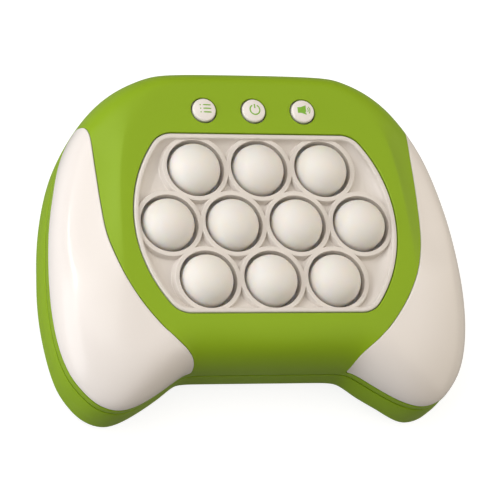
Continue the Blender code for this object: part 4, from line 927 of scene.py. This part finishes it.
def line(start, end, steps=8):
    """Points on a straight line."""
    return np.linspace(start, end, steps)


dash_width = LINE_WIDTH * (1 - 0.45 * np.abs(np.linspace(-1, 1, 8)) ** 6)
mode_strokes = []
for level in (1.45, 0.25, -0.95):
    mode_strokes.append((line((-1.6, level), (-1.2, level)), dash_width))
    mode_strokes.append((line((-0.55, level), (2.1, level)), dash_width))
power_strokes = [(bow((0.15, 0.1), 1.6, 118, 422), LINE_WIDTH),
                 (line((0.15, 0.55), (0.15, 1.95)), LINE_WIDTH)]
horn_width = np.array([1.9, 1.9, 1.9, 2.0, 2.3, 2.6, 2.9, 3.2])
sound_strokes = [(line((-1.95, 0.2), (0.85, 0.2)), horn_width)]
sound_strokes += [(bow((0.7, 0.2), radius, -48, 48), WAVE_WIDTH) for radius in (0.85, 1.45)]
marks = {}
for use, strokes in (("mode", mode_strokes), ("power", power_strokes), ("sound", sound_strokes)):
    strips = [stroke(f"{use}_stroke_{i}", route, width, button_places[use])
              for i, (route, width) in enumerate(strokes)]
    marks[use] = merged_copies(f"{use}_mark", strips)
print(len(marks), "marks")

# %% [markdown]
# ## Back shell
#
# The back is the lower half of the casing: a flat underside, a wide fillet up to the side, and at the
# top a thin tongue that slips behind the front's wall. It is laid over the same stations as the
# front, so that the two edges of the seam run exactly side by side. A little draft lets it out of
# its mould.

# %% Back shell
BACK_FILLET, GRIP_FILLET, BACK_BULGE, BACK_WALL, Z_HOLLOW = 8.6, 4.6, 0.5, 2.2, 12.0
GRIP_FILLET_X, GRIP_FILLET_OVER = 38.0, 12.0
Z_BACK_TOP, Z_TONGUE, TONGUE_LOWERED, TONGUE_INSET = 15.25, 17.2, 1.25, 1.3
CORNER_DRAFT, CORNER_MIDDLE_X, CORNER_MIDDLE_Y, CORNER_SPREAD = 2.6, 52.0, 38.0, 13.0
SIDE_DRAFT, SIDE_MIDDLE_X, SIDE_MIDDLE_Y, SIDE_SPREAD = 1.1, 66.0, -33.0, 10.0
ARCH_DRAFT, ARCH_END_X, ARCH_OVER = 0.9, 34.0, 8.0


def bell(seam, x, y, spread):
    """A soft bump from 0 to 1 round a point of the plan."""
    return np.exp(-0.5 * (np.hypot(seam[:, 0] - x, seam[:, 1] - y) / spread) ** 2)


def draft(seam):
    """How far the side leans in at the foot: most at the upper corners, less at a grip's side and arch."""
    corner = CORNER_DRAFT * bell(seam, CORNER_MIDDLE_X, CORNER_MIDDLE_Y, CORNER_SPREAD)
    side = SIDE_DRAFT * bell(seam, SIDE_MIDDLE_X, SIDE_MIDDLE_Y, SIDE_SPREAD)
    arch = ARCH_DRAFT * smooth_step((ARCH_END_X - seam[:, 0]) / ARCH_OVER) * (seam[:, 1] < 0)
    return corner + side + arch


def back_rows(depth, low, tops, steps):
    """Rows up the outside of the back, or of its hollow, which is the same form set in."""
    ahead = np.gradient(body_skin.seam, body_stations, axis=0)
    ahead[[0, -1], 1] = 0.0
    ahead /= np.hypot(ahead[:, 0], ahead[:, 1])[:, None]
    inwards = np.column_stack([ahead[:, 1], -ahead[:, 0]])
    share = np.minimum(grip_share(body_skin.seam), 1.0)
    share = share * smooth_step((body_skin.seam[:, 0] - GRIP_FILLET_X) / GRIP_FILLET_OVER)
    fillet = BACK_FILLET + (GRIP_FILLET - BACK_FILLET) * share
    lean = draft(body_skin.seam)
    rows = []
    for a in np.linspace(0, math.pi / 2, steps):
        z = low + fillet * (1 - math.cos(a))
        reach = depth + fillet * (1 - math.sin(a)) - BACK_BULGE * math.sin(a) + lean * (1 - z / Z_BACK_TOP)
        rows.append(np.column_stack([body_skin.seam + inwards * reach[:, None], z]))
    for inset, z in tops:
        height = np.broadcast_to(z, lean.shape)
        reach = inset + lean * np.maximum(1 - height / Z_BACK_TOP, 0)
        rows.append(np.column_stack([body_skin.seam + inwards * reach[:, None], height]))
    return rows


tongue_top = Z_TONGUE - TONGUE_LOWERED * dip(body_skin.seam)
side_tops = [(-BACK_BULGE * math.cos(math.pi / 2 * t), BACK_FILLET + (Z_BACK_TOP - BACK_FILLET) * t)
             for t in np.linspace(0, 1, 9)[1:-1]]
outer_tops = side_tops + [(0.0, Z_BACK_TOP - EDGE_RADIUS), (edge_middle, Z_BACK_TOP - edge_middle),
                          (EDGE_RADIUS, Z_BACK_TOP), (TONGUE_INSET, Z_BACK_TOP), (TONGUE_INSET, tongue_top),
                          (BACK_WALL, tongue_top)]
outer = back_rows(0.0, 0.0, outer_tops, 25)
inner = back_rows(BACK_WALL, BACK_WALL, [(BACK_WALL, Z_HOLLOW)], 17)
back_shell = closed_flats(laid("back_shell", [all_round(row) for row in outer + inner[::-1]]))
print("back shell", len(back_shell.data.polygons), "faces")

# %% [markdown]
# ## Blocks with rounded corners
#
# The bay, the battery door, the slots and the recess of a screw are all upright blocks with rounded
# corners. A bevelled cube would do for one; a helper that lays an outline at several levels does for
# all of them, and a level may be wider or narrower, which gives a rounded foot or a hole's mouth.

# %% Blocks and mouths
BELOW_ALL = -1.0


def rounded_outline(half_x, half_y, radius, steps=6):
    """A rectangle with rounded corners, as a closed ring round the origin."""
    ring = []
    for quarter, (side, end) in enumerate(((1, 1), (-1, 1), (-1, -1), (1, -1))):
        for a in np.linspace(0, math.pi / 2, steps + 1) + quarter * math.pi / 2:
            ring.append((side * (half_x - radius) + radius * math.cos(a),
                         end * (half_y - radius) + radius * math.sin(a)))
    return np.array(ring + ring[:1])


def block(name, half_x, half_y, radius, levels, place):
    """An upright block with rounded corners: levels are (growth, height) pairs from below upwards."""
    rows = []
    for growth, z in levels:
        outline = rounded_outline(half_x + growth, half_y + growth, radius + growth) + place
        rows.append(np.column_stack([outline, np.full(len(outline), z)]))
    return closed_flats(laid(name, rows))


def mouth(width, top):
    """Levels of a cutter that comes in from below and leaves a softened rim."""
    return [(width, BELOW_ALL), (width, 0.0), (width * CORNER_MIDDLE, width * CORNER_MIDDLE),
            (0.0, width), (0.0, top)]


print("the outline of a block has", len(rounded_outline(1.0, 1.0, 0.5)) - 1, "points")

# %% [markdown]
# ## What the back holds
#
# Six pillars take the casing's screws, a walled bay takes three small round cells, a post takes the
# door's screw, and a low ring holds the speaker. All are joined to the shell before any hole is cut,
# so that a hole goes through whatever stands there.

# %% Supports
FOOT = 1.1
SHANK_HOLE, PILLAR_RADIUS = 1.57, 3.8
DOOR_Y, DOOR_SCREW_Y = -12.48, 8.97
BAY_HALF_X, BAY_HALF_Y, BAY_CEILING, BAY_WALL = 24.85, 16.75, 12.9, 1.5
DOOR_POST_RADIUS, DOOR_POST_TOP = 5.2, 11.2
SPEAKER_Y, SPEAKER_RADIUS = 27.77, 13.0
RING_GAP, RING_WALL_OUT, RING_TOP = 0.3, 1.6, 5.2
right_screws = [(24.7, 44.2), (50.7, 6.8), (50.1, -37.0)]
screw_places = right_screws + [(-x, y) for x, y in right_screws]

pillar = [(SHANK_HOLE, FOOT), (PILLAR_RADIUS, FOOT), (PILLAR_RADIUS, Z_BACK_TOP), (SHANK_HOLE, Z_BACK_TOP),
          (SHANK_HOLE, FOOT)]
supports = [spun(f"pillar_{i}", pillar, place, 40) for i, place in enumerate(screw_places)]
supports.append(block("bay_walls", BAY_HALF_X + BAY_WALL, BAY_HALF_Y + BAY_WALL, BAY_WALL,
                      [(0.0, FOOT), (0.0, BAY_CEILING + BAY_WALL)], (0.0, DOOR_Y)))
ring_in, ring_out = SPEAKER_RADIUS + RING_GAP, SPEAKER_RADIUS + RING_WALL_OUT
speaker_ring = [(ring_in, FOOT), (ring_out, FOOT), (ring_out, RING_TOP), (ring_in, RING_TOP), (ring_in, FOOT)]
supports.append(spun("speaker_ring", speaker_ring, (0.0, SPEAKER_Y)))
combined(back_shell, merged_copies("supports", supports), "UNION")
door_post = [(0.0, FOOT), (DOOR_POST_RADIUS, FOOT), (DOOR_POST_RADIUS, DOOR_POST_TOP), (0.0, DOOR_POST_TOP)]
combined(back_shell, spun("door_post", door_post, (0.0, DOOR_SCREW_Y), 48), "UNION")
print("back shell with its supports", len(back_shell.data.polygons), "faces")

# %% [markdown]
# ## What is cut into the back
#
# From below come the seat of the battery door, six deep bores for the screws and the five slots of
# the grille; then the bay and the well of the door's boss, which lie inside the seat. Each mouth is
# a little wider, so that its rim is not sharp.

# %% Holes in the back
BORE, BORE_TOP = 2.6, 13.35
DOOR_HALF_X, DOOR_HALF_Y, DOOR_CORNER, DOOR_GAP = 27.05, 18.95, 1.5, 0.3
SEAT_TOP, WELL_TOP, DOOR_BOSS = 1.5, 3.5, 3.6
BAY_FLOOR, BAY_CORNER = 1.0, 0.8
POST_HOLE, POST_HOLE_FOOT, POST_HOLE_TOP = 1.3, 3.0, 9.2
GRILLE_RADIUS, SLOTS, SLOT_WIDTH, SLOT_PITCH, SLOT_TOP = 10.5, 5, 1.6, 3.8, 2.4
MOUTH = 0.2

cutters = [block("door_seat", DOOR_HALF_X + DOOR_GAP, DOOR_HALF_Y + DOOR_GAP, DOOR_CORNER + DOOR_GAP,
                 mouth(MOUTH, SEAT_TOP), (0.0, DOOR_Y))]
bore = [(0.0, BELOW_ALL), (BORE + 0.25, BELOW_ALL), (BORE + 0.25, 0.0), (BORE + 0.08, 0.08), (BORE, 0.25),
        (BORE, BORE_TOP), (0.0, BORE_TOP)]
cutters += [spun(f"screw_bore_{i}", bore, place, 48) for i, place in enumerate(screw_places)]
for i in range(SLOTS):
    offset = SLOT_PITCH * (i - 2)
    half_length = math.sqrt(GRILLE_RADIUS ** 2 - offset ** 2)
    cutters.append(block(f"slot_{i}", half_length, SLOT_WIDTH / 2, SLOT_WIDTH / 2 - 0.01,
                         mouth(MOUTH, SLOT_TOP), (0.0, SPEAKER_Y + offset)))
combined(back_shell, merged_copies("mouths", cutters))

well = [(DOOR_BOSS + DOOR_GAP + width, z) for width, z in mouth(MOUTH, WELL_TOP)]
well = [(0.0, BELOW_ALL)] + well + [(0.0, WELL_TOP)]
cutters = [block("bay", BAY_HALF_X, BAY_HALF_Y, BAY_CORNER, [(0.0, BAY_FLOOR), (0.0, BAY_CEILING)],
                 (0.0, DOOR_Y)),
           spun("door_well", well, (0.0, DOOR_SCREW_Y), 64)]
combined(back_shell, merged_copies("bays", cutters))
post_hole = [(0.0, POST_HOLE_FOOT), (POST_HOLE, POST_HOLE_FOOT), (POST_HOLE, POST_HOLE_TOP),
             (0.0, POST_HOLE_TOP)]
combined(back_shell, spun("post_hole", post_hole, (0.0, DOOR_SCREW_Y), 32))
print("back shell with its holes", len(back_shell.data.polygons), "faces")

# %% [markdown]
# ## Battery door
#
# The door drops into its seat level with the back, and a step on its inside centres it in the bay. A
# round boss carries its screw, and four shallow grooves of falling length give a fingertip hold. The
# plate is one block; step and boss are joined to it, and the grooves are cut out at the end.

# %% Battery door
DOOR_THICKNESS, STEP_GAP, STEP_CORNER, BOSS_TOP = 1.2, 0.3, 0.7, 3.2
STEP_LEVELS = [(0.0, 0.6), (0.0, 1.6), (-0.2, 1.8)]
HEAD_HOLE, HEAD_SEAT, SCREW_HOLE, PAST_BOSS = 2.2, 1.9, 1.3, 4.0
GROOVES, GROOVE_PITCH, GROOVE_HALF_LENGTH, GROOVE_SHORTER, FIRST_GROOVE_Y = 4, 1.9, 7.0, 1.3, 1.5
GROOVE_HALF_WIDTH, GROOVE_LEVELS = 0.5, [(0.15, BELOW_ALL), (0.15, 0.0), (0.0, 0.15), (-0.1, 0.4)]

rounded_foot = [(-EDGE_RADIUS, 0.0), (-edge_middle, edge_middle), (0.0, EDGE_RADIUS)]
battery_door = block("door_plate", DOOR_HALF_X, DOOR_HALF_Y, DOOR_CORNER,
                     rounded_foot + [(0.0, DOOR_THICKNESS)], (0.0, DOOR_Y))
combined(battery_door, block("door_step", BAY_HALF_X - STEP_GAP, BAY_HALF_Y - STEP_GAP, STEP_CORNER,
                             STEP_LEVELS, (0.0, DOOR_Y)), "UNION")
boss = [(0.0, 0.0)] + [(DOOR_BOSS + growth, z) for growth, z in rounded_foot]
boss += [(DOOR_BOSS, BOSS_TOP), (0.0, BOSS_TOP)]
combined(battery_door, spun("door_boss", boss, (0.0, DOOR_SCREW_Y), 64), "UNION")
head_hole = [(0.0, BELOW_ALL), (HEAD_HOLE + MOUTH, BELOW_ALL), (HEAD_HOLE + MOUTH, 0.0), (HEAD_HOLE, MOUTH),
             (HEAD_HOLE, HEAD_SEAT), (SCREW_HOLE, HEAD_SEAT), (SCREW_HOLE, PAST_BOSS), (0.0, PAST_BOSS)]
cutters = [spun("head_hole", head_hole, (0.0, DOOR_SCREW_Y), 48)]
for i in range(GROOVES):
    cutters.append(block(f"groove_{i}", GROOVE_HALF_LENGTH - GROOVE_SHORTER * i, GROOVE_HALF_WIDTH,
                         GROOVE_HALF_WIDTH - 0.01, GROOVE_LEVELS, (0.0, FIRST_GROOVE_Y - GROOVE_PITCH * i)))
combined(battery_door, merged_copies("door_holes", cutters))
print("battery door", len(battery_door.data.polygons), "faces")

# %% [markdown]
# ## Screws
#
# All the screws are pan-head screws for plastic, with a cross recess and a coarse thread. The head
# points down. A true thread is a long spiral of small faces that nobody sees in its hole, so it is
# drawn as a row of ridges round the shank, and spun with the head in one piece.

# %% Screws
HEAD_RIM, HEAD_CROWN, HEAD_ROUNDNESS = 0.35, 0.65, 0.7
THREAD_PITCH, THREAD_ROOT, THREAD_FOOT, THREAD_CREST = 0.75, 0.8, 0.4, 0.65
PLAIN_LENGTH, SHANK_END, POINT_SHARE = 2.0, 0.8, 0.25
CROSS_ARM, CROSS_WIDTH, CROSS_DEPTH = 0.58, 0.11, 0.8
CASING_SCREW = {"under_head": 13.1, "head_radius": 2.3, "head_height": 1.6, "radius": 1.3, "length": 12.0}
DOOR_SCREW = {"under_head": 1.6, "head_radius": 1.9, "head_height": 1.3, "radius": 1.0, "length": 6.0}


def screw(name, place, under_head, head_radius, head_height, radius, length):
    """A pan-head screw: under_head is the height of the face that the head pulls on."""
    crown = [(head_radius * math.sin(a),
              under_head - head_height * (HEAD_RIM + HEAD_CROWN * math.cos(a) ** HEAD_ROUNDNESS))
             for a in np.linspace(0, math.pi / 2, 14)]
    shank = [(head_radius, under_head), (radius, under_head)]
    pitch, root = radius * THREAD_PITCH, radius * THREAD_ROOT
    for i in range(int((length - PLAIN_LENGTH) / pitch)):
        z = under_head + SHANK_END + i * pitch
        shank += [(root, z), (root, z + pitch * THREAD_FOOT), (radius, z + pitch * THREAD_CREST)]
    tip = under_head + length
    shank += [(root, tip - SHANK_END), (radius * POINT_SHARE, tip), (0.0, tip)]
    piece = spun(name, crown + shank, place, 40)
    low = under_head - head_height
    arm, thin = head_radius * CROSS_ARM, head_radius * CROSS_WIDTH
    levels = [(0.1, low - 1.0), (0.0, low), (-0.04, low + CROSS_DEPTH)]
    for half_x, half_y in ((arm, thin), (thin, arm)):
        combined(piece, block("recess", half_x, half_y, thin * 0.5, levels, place))
    return piece


def middle(node):
    """Where a solid's middle lies from above, in millimetres."""
    corners = np.array([node.matrix_world @ Vector(corner) for corner in node.bound_box])
    return tuple(corners.mean(axis=0)[:2] / MM)


screws = {}
for i in range(1, 7):
    place = middle(nodes[f"casing_screw_{i}"])
    screws[f"casing_screw_{i}"] = screw(f"casing_fixing_{i}", place, **CASING_SCREW)
screws["battery_door_screw"] = screw("door_fixing", (0.0, DOOR_SCREW_Y), **DOOR_SCREW)
print(len(screws), "screws")

# %% [markdown]
# ## Cells
#
# Three cells lie side by side in the bay, turned end for end. A cell is a steel can with a nub at one
# end, in a shrunk plastic sleeve that turns in over both rims. Can and sleeve are two stuffs, so
# they are two pieces, each a half section turned round an axis that lies down.

# %% Cells
CELL_RADIUS, CELL_LENGTH, CELL_PITCH, CELL_Z = 5.25, 44.5, 11.0, 7.35
CELL_SHIFT = 1.5


def lying(name, outline, place, flip, steps=64):
    """Turns an outline of (place along, radius) points round an axis that runs from left to right."""
    turns = np.linspace(0, 2 * math.pi, steps + 1)
    rows = [np.column_stack([np.full(steps + 1, place[0] + flip * x), place[1] + r * np.cos(turns),
                             place[2] + r * np.sin(turns)]) for x, r in outline]
    return closed_flats(laid(name, rows))


nub, flat_end = -CELL_LENGTH / 2, CELL_LENGTH / 2
can = [(nub, 0.0), (nub, 1.7), (nub + 0.2, 1.9), (nub + 1.0, 1.9), (nub + 1.15, 2.4), (nub + 1.15, 4.3),
       (nub + 1.45, 4.9), (nub + 1.95, 5.1), (flat_end - 0.15, 5.1), (flat_end, 4.6), (flat_end - 0.05, 3.0),
       (flat_end - 0.05, 0.0)]
sleeve = [(nub + 1.25, 4.2), (nub + 1.3, 4.6), (nub + 1.65, 5.05), (nub + 2.25, CELL_RADIUS),
          (flat_end - 0.25, CELL_RADIUS), (flat_end - 0.05, 5.0), (flat_end, 4.5), (flat_end - 0.03, 4.4),
          (flat_end - 0.35, 5.1), (nub + 2.25, 5.1), (nub + 1.65, 4.9), (nub + 1.35, 4.4), (nub + 1.25, 4.2)]
cans, sleeves = [], []
for i in range(3):
    spring_end = 1 if i % 2 == 0 else -1
    place = (-spring_end * CELL_SHIFT, DOOR_Y + CELL_PITCH * (i - 1), CELL_Z)
    cans.append(lying(f"can_{i + 1}", can, place, spring_end))
    sleeves.append(lying(f"sleeve_{i + 1}", sleeve, place, spring_end))
print(len(cans), "cells")

# %% [markdown]
# ## Speaker
#
# Behind the grille lies a small speaker: a pressed steel basket, and a paper cone with a rolled edge
# and a round dust cap. Both are thin and round, so each is a closed half section that is spun; the
# cone's upper side is its under side again, a little higher.

# %% Speaker
BASKET_TOP, BASKET_LIP, BASKET_WALL = 6.7, 2.5, 1.5
ROLL_MIDDLE, ROLL_HALF_WIDTH, ROLL_HEIGHT = 10.2, 0.9, 0.5
CONE_EDGE, CONE_EDGE_Z, CONE_THICKNESS = 11.2, 3.1, 0.3
CAP_SPAN, CAP_MIDDLE_Z, CAP_RISE, CAP_TURN, CONE_NECK_Z = 4.2, 4.95, 1.3, 1.25, 4.6

basket_in = SPEAKER_RADIUS - BASKET_WALL
basket_outline = [(0.0, BASKET_TOP), (12.4, BASKET_TOP), (12.8, 6.6), (SPEAKER_RADIUS, 6.2),
                  (SPEAKER_RADIUS, 2.7), (12.9, BASKET_LIP), (11.7, BASKET_LIP), (basket_in, 2.7),
                  (basket_in, 5.4), (11.0, 5.9), (0.0, 5.9)]
basket = spun("basket", basket_outline, (0.0, SPEAKER_Y))
roll = [(ROLL_MIDDLE + ROLL_HALF_WIDTH * math.cos(a), CONE_EDGE_Z - ROLL_HEIGHT * math.sin(a))
        for a in np.linspace(0, math.pi, 10)]
dust_cap = [(CAP_SPAN * math.sin(a), CAP_MIDDLE_Z - CAP_RISE * math.cos(a))
            for a in np.linspace(CAP_TURN, 0, 10)]
under = [(CONE_EDGE, CONE_EDGE_Z)] + roll + [(CAP_SPAN, CONE_NECK_Z)] + dust_cap
over = [(r, z + CONE_THICKNESS) for r, z in under[::-1]]
cone = spun("paper_cone", over + under, (0.0, SPEAKER_Y))
print("speaker", len(cone.data.polygons), "faces in the cone")

# %% [markdown]
# ## Springs and contacts
#
# A bent strip of spring steel stands at each end of a cell. Where the nub rests it is flat, and where
# the flat end rests it carries a coiled wire, wide at its foot and narrow at its tip. The wire is
# laid as rings of points along a spiral, which keeps its thickness even at every bend.

# %% Springs and contacts
PLATE_X, PLATE_HALF, PLATE_CORNER, PLATE_HALF_THICKNESS = 24.3, 4.0, 0.8, 0.25
COIL_X, COIL_LENGTH, COIL_TURNS, COIL_STEPS = 23.75, 2.55, 3, 140
COIL_RADIUS, COIL_TAPER, WIRE_RADIUS = 3.0, 1.1, 0.3


def swept(name, route, radius, steps=10):
    """A round wire along a route of points."""
    route = np.asarray(route, float)
    ahead = np.gradient(route, axis=0)
    ahead /= np.linalg.norm(ahead, axis=1)[:, None]
    first = np.cross(ahead, (1.0, 0.0, 0.0))
    first /= np.linalg.norm(first, axis=1)[:, None]
    second = np.cross(ahead, first)
    turns = np.linspace(0, 2 * math.pi, steps + 1)
    rows = [point + radius * (np.outer(np.cos(turns), a) + np.outer(np.sin(turns), b))
            for point, a, b in zip(route, first, second)]
    return closed_flats(laid(name, rows))


def plate(name, x, y, end):
    """A thin upright plate with rounded corners, its thickness along the cell."""
    outline = rounded_outline(PLATE_HALF, PLATE_HALF, PLATE_CORNER) + (y, CELL_Z)
    rows = [np.column_stack([np.full(len(outline), x + end * depth), outline])
            for depth in (-PLATE_HALF_THICKNESS, PLATE_HALF_THICKNESS)]
    return closed_flats(laid(name, rows))


springs, contacts = [], []
for i in range(3):
    end = 1 if i % 2 == 0 else -1
    y = DOOR_Y + CELL_PITCH * (i - 1)
    t = np.linspace(0, 1, COIL_STEPS)
    coil_radius = COIL_RADIUS - COIL_TAPER * t
    turned = 2 * COIL_TURNS * math.pi * t
    coil = np.column_stack([end * (COIL_X - COIL_LENGTH * t), y + coil_radius * np.cos(turned),
                            CELL_Z + coil_radius * np.sin(turned)])
    springs.append(merged_copies(f"coil_{i + 1}", [swept(f"wire_{i + 1}", coil, WIRE_RADIUS),
                                                   plate(f"foot_{i + 1}", end * PLATE_X, y, end)]))
    contacts.append(plate(f"contact_plate_{i + 1}", -end * PLATE_X, y, end))
print(len(springs), "springs and", len(contacts), "contacts")

# %% [markdown]
# ## What shows and what moves
#
# Every piece rides on a body of the solid model, so that the poses move it, and stands for the solid
# that it covers. The smooth finish comes last: soft curves are shaded smoothly and real corners stay.
# Pieces that hardly show keep the solid's own mesh, and get the material of the real one.

# %% Finish and join to the model
SMOOTH_ANGLE = math.radians(38)
NORMAL_WEIGHT = 80


def finished(piece, body, covered_nodes, material):
    """Shades a piece, gives it its material, and ties it to the body and the solids it stands for."""
    piece.data.materials.clear()
    piece.data.materials.append(material)
    pick(piece)
    bpy.ops.object.shade_smooth_by_angle(angle=SMOOTH_ANGLE)
    apply_modifier(piece, "WEIGHTED_NORMAL", keep_sharp=True, weight=NORMAL_WEIGHT)
    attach(piece, body)
    if covered_nodes:
        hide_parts(*covered_nodes)
    return piece


finished(front_shell, "housing", ["front_casing"], GREEN_ABS)
finished(back_shell, "housing", ["back_casing"], GREEN_ABS)
for side, cover in covers.items():
    finished(cover, "housing", [f"{side}_grip_cover"], GLOSS_ABS)
finished(panel, "housing", ["bubble_panel"], PANEL_ABS)
for i, bubble in enumerate(bubbles):
    finished(bubble, f"bubble_{i + 1}_body", [f"bubble_{i + 1}"], SILICONE)
for use, cap in caps.items():
    finished(cap, f"{use}_button_body", [f"{use}_button"], GLOSS_ABS)
    finished(marks[use], f"{use}_button_body", [], GREEN_INK)
finished(battery_door, "battery_door_body", ["battery_door"], GREEN_ABS)
for node, piece in screws.items():
    finished(piece, nodes[node]["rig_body"], [node], ZINC_STEEL)
for i in range(3):
    finished(cans[i], "housing", [f"battery_cell_{i + 1}"], NICKEL_STEEL)
    finished(sleeves[i], "housing", [], CELL_SLEEVE)
    finished(springs[i], "housing", [f"battery_spring_{i + 1}"], NICKEL_STEEL)
    finished(contacts[i], "housing", [f"battery_contact_{i + 1}"], NICKEL_STEEL)
finished(basket, "housing", ["speaker_frame"], ZINC_STEEL)
finished(cone, "housing", ["speaker_cone"], CONE_PAPER)
print("the pieces ride on their bodies")

# %% [markdown]
# ## Materials for the solids that stay
#
# The sheet, the board with its chip, the magnet, the switches, the four small screws and the wires
# lie deep inside. Their solids already have the right form, so their meshes are left alone.

# %% Materials of the inside
kept = {"bubble_sheet": SILICONE, "circuit_board": SOLDER_MASK, "control_chip": CHIP_EPOXY,
        "speaker_magnet": NICKEL_STEEL}
kept.update({f"{use}_switch": SWITCH_NYLON for use in caps})
kept.update({f"{use}_switch_plunger": PLUNGER_ACETAL for use in caps})
kept.update({f"board_screw_{i}": ZINC_STEEL for i in range(1, 5)})
kept.update({f"{use}_wire_{i}": WIRE_PVC for use in ("speaker", "battery") for i in (1, 2)})
for name, material in kept.items():
    nodes[name].data.materials.clear()
    nodes[name].data.materials.append(material)
print(len(kept), "solids keep their own mesh")

# %% [markdown]
# ## Floor
#
# The floor is pale. To the camera it also glows a little, so that it comes out white as in the
# picture and still keeps a faint shadow. It lies a hair under the game, so that the two flat faces
# don't fight for the same place.

# %% Floor
FLOOR_GLOW, GLOSSY_SHARE, FLOOR_ROUGHNESS = 0.85, 0.10, 0.9
FLOOR_GAP, FLOOR_SIDE = 0.2, 6000.0
bpy.ops.object.select_all(action="DESELECT")
bpy.ops.mesh.primitive_plane_add(size=FLOOR_SIDE * MM, location=(0.0, 0.0, -FLOOR_GAP * MM))
bpy.ops.object.transform_apply(location=True)
floor = bpy.context.object
floor.name = "floor"
floor_material, tree, shader, place = new_material("pale matt floor")
shader.inputs["Base Color"].default_value = colour("#969696")
shader.inputs["Roughness"].default_value = FLOOR_ROUGHNESS
rays = add_node(tree, "ShaderNodeLightPath")
straight = add_node(tree, "ShaderNodeMath", settings={"operation": "MAXIMUM"},
                    links={0: rays.outputs["Is Camera Ray"], 1: rays.outputs["Is Transmission Ray"]})
mirrored = add_node(tree, "ShaderNodeMath", settings={"operation": "MULTIPLY"}, values={1: GLOSSY_SHARE},
                    links={0: rays.outputs["Is Glossy Ray"]})
seen = add_node(tree, "ShaderNodeMath", settings={"operation": "MAXIMUM"},
                links={0: straight.outputs[0], 1: mirrored.outputs[0]})
glow = add_node(tree, "ShaderNodeMath", settings={"operation": "MULTIPLY"}, values={1: FLOOR_GLOW},
                links={0: seen.outputs[0]})
tree.links.new(glow.outputs[0], shader.inputs["Emission Strength"])
shader.inputs["Emission Color"].default_value = (1.0, 1.0, 1.0, 1.0)
floor.data.materials.append(floor_material)
print("the floor lies", FLOOR_GAP, "mm under the game")

# %% [markdown]
# ## Light
#
# Four soft lamps stand round the game, a metre off. The widest light comes from high at the left, and
# a low one fills the left side. A warmer one stands at the right. The thin strip is there for its
# mirror image alone: the narrow highlight down the left cover. To the camera the world is white; to
# the game it is a faint warm fill. Together they light an upward face so that its colour comes out
# about as it is written.

# %% World and lamps
LAMP_DISTANCE = 1000.0
FILL_TINT, FILL_STRENGTH = (1.0, 0.76, 0.48, 1.0), 0.09

world = bpy.data.worlds.new("studio")
bpy.context.scene.world = world
world.use_nodes = True
tree = world.node_tree
fill = tree.nodes["Background"]
fill.inputs["Color"].default_value = FILL_TINT
fill.inputs["Strength"].default_value = FILL_STRENGTH
white = add_node(tree, "ShaderNodeBackground", values={"Color": (1.0, 1.0, 1.0, 1.0), "Strength": 1.0})
rays = add_node(tree, "ShaderNodeLightPath")
mixed = add_node(tree, "ShaderNodeMixShader",
                 links={0: rays.outputs["Is Camera Ray"], 1: fill.outputs[0], 2: white.outputs[0]})
tree.links.new(mixed.outputs[0], tree.nodes["World Output"].inputs["Surface"])


def towards(turn, height):
    """A direction from its turn round the game, anticlockwise from the right, and its height."""
    turn, height = math.radians(turn), math.radians(height)
    return Vector((math.cos(turn) * math.cos(height), math.sin(turn) * math.cos(height), math.sin(height)))


def lamp(name, direction, width, height, power, tint=(1.0, 1.0, 1.0)):
    """A rectangular soft lamp that looks at the game from a direction; its sides are in metres."""
    data = bpy.data.lights.new(name, "AREA")
    data.shape = "RECTANGLE"
    data.size, data.size_y, data.energy = width, height, power
    data.color = tint
    made = bpy.data.objects.new(name, data)
    bpy.context.scene.collection.objects.link(made)
    back = direction.normalized()
    made.location = AIM + back * LAMP_DISTANCE * MM
    made.rotation_euler = back.to_track_quat("Z", "Y").to_euler()
    return made


lamps = [lamp("soft key", towards(145, 59), 1.1, 1.1, 7.6, (1.0, 0.965, 0.94)),
         lamp("low left", towards(188, 14), 1.0, 0.8, 7.8, (0.96, 0.97, 1.0)),
         lamp("right fill", towards(-4, 32), 1.2, 1.2, 6.8, (1.0, 0.93, 0.82)),
         lamp("thin strip", towards(154, 34), 0.18, 0.045, 1.1)]
bpy.context.scene.view_settings.view_transform = "Standard"
print(len(lamps), "lamps")
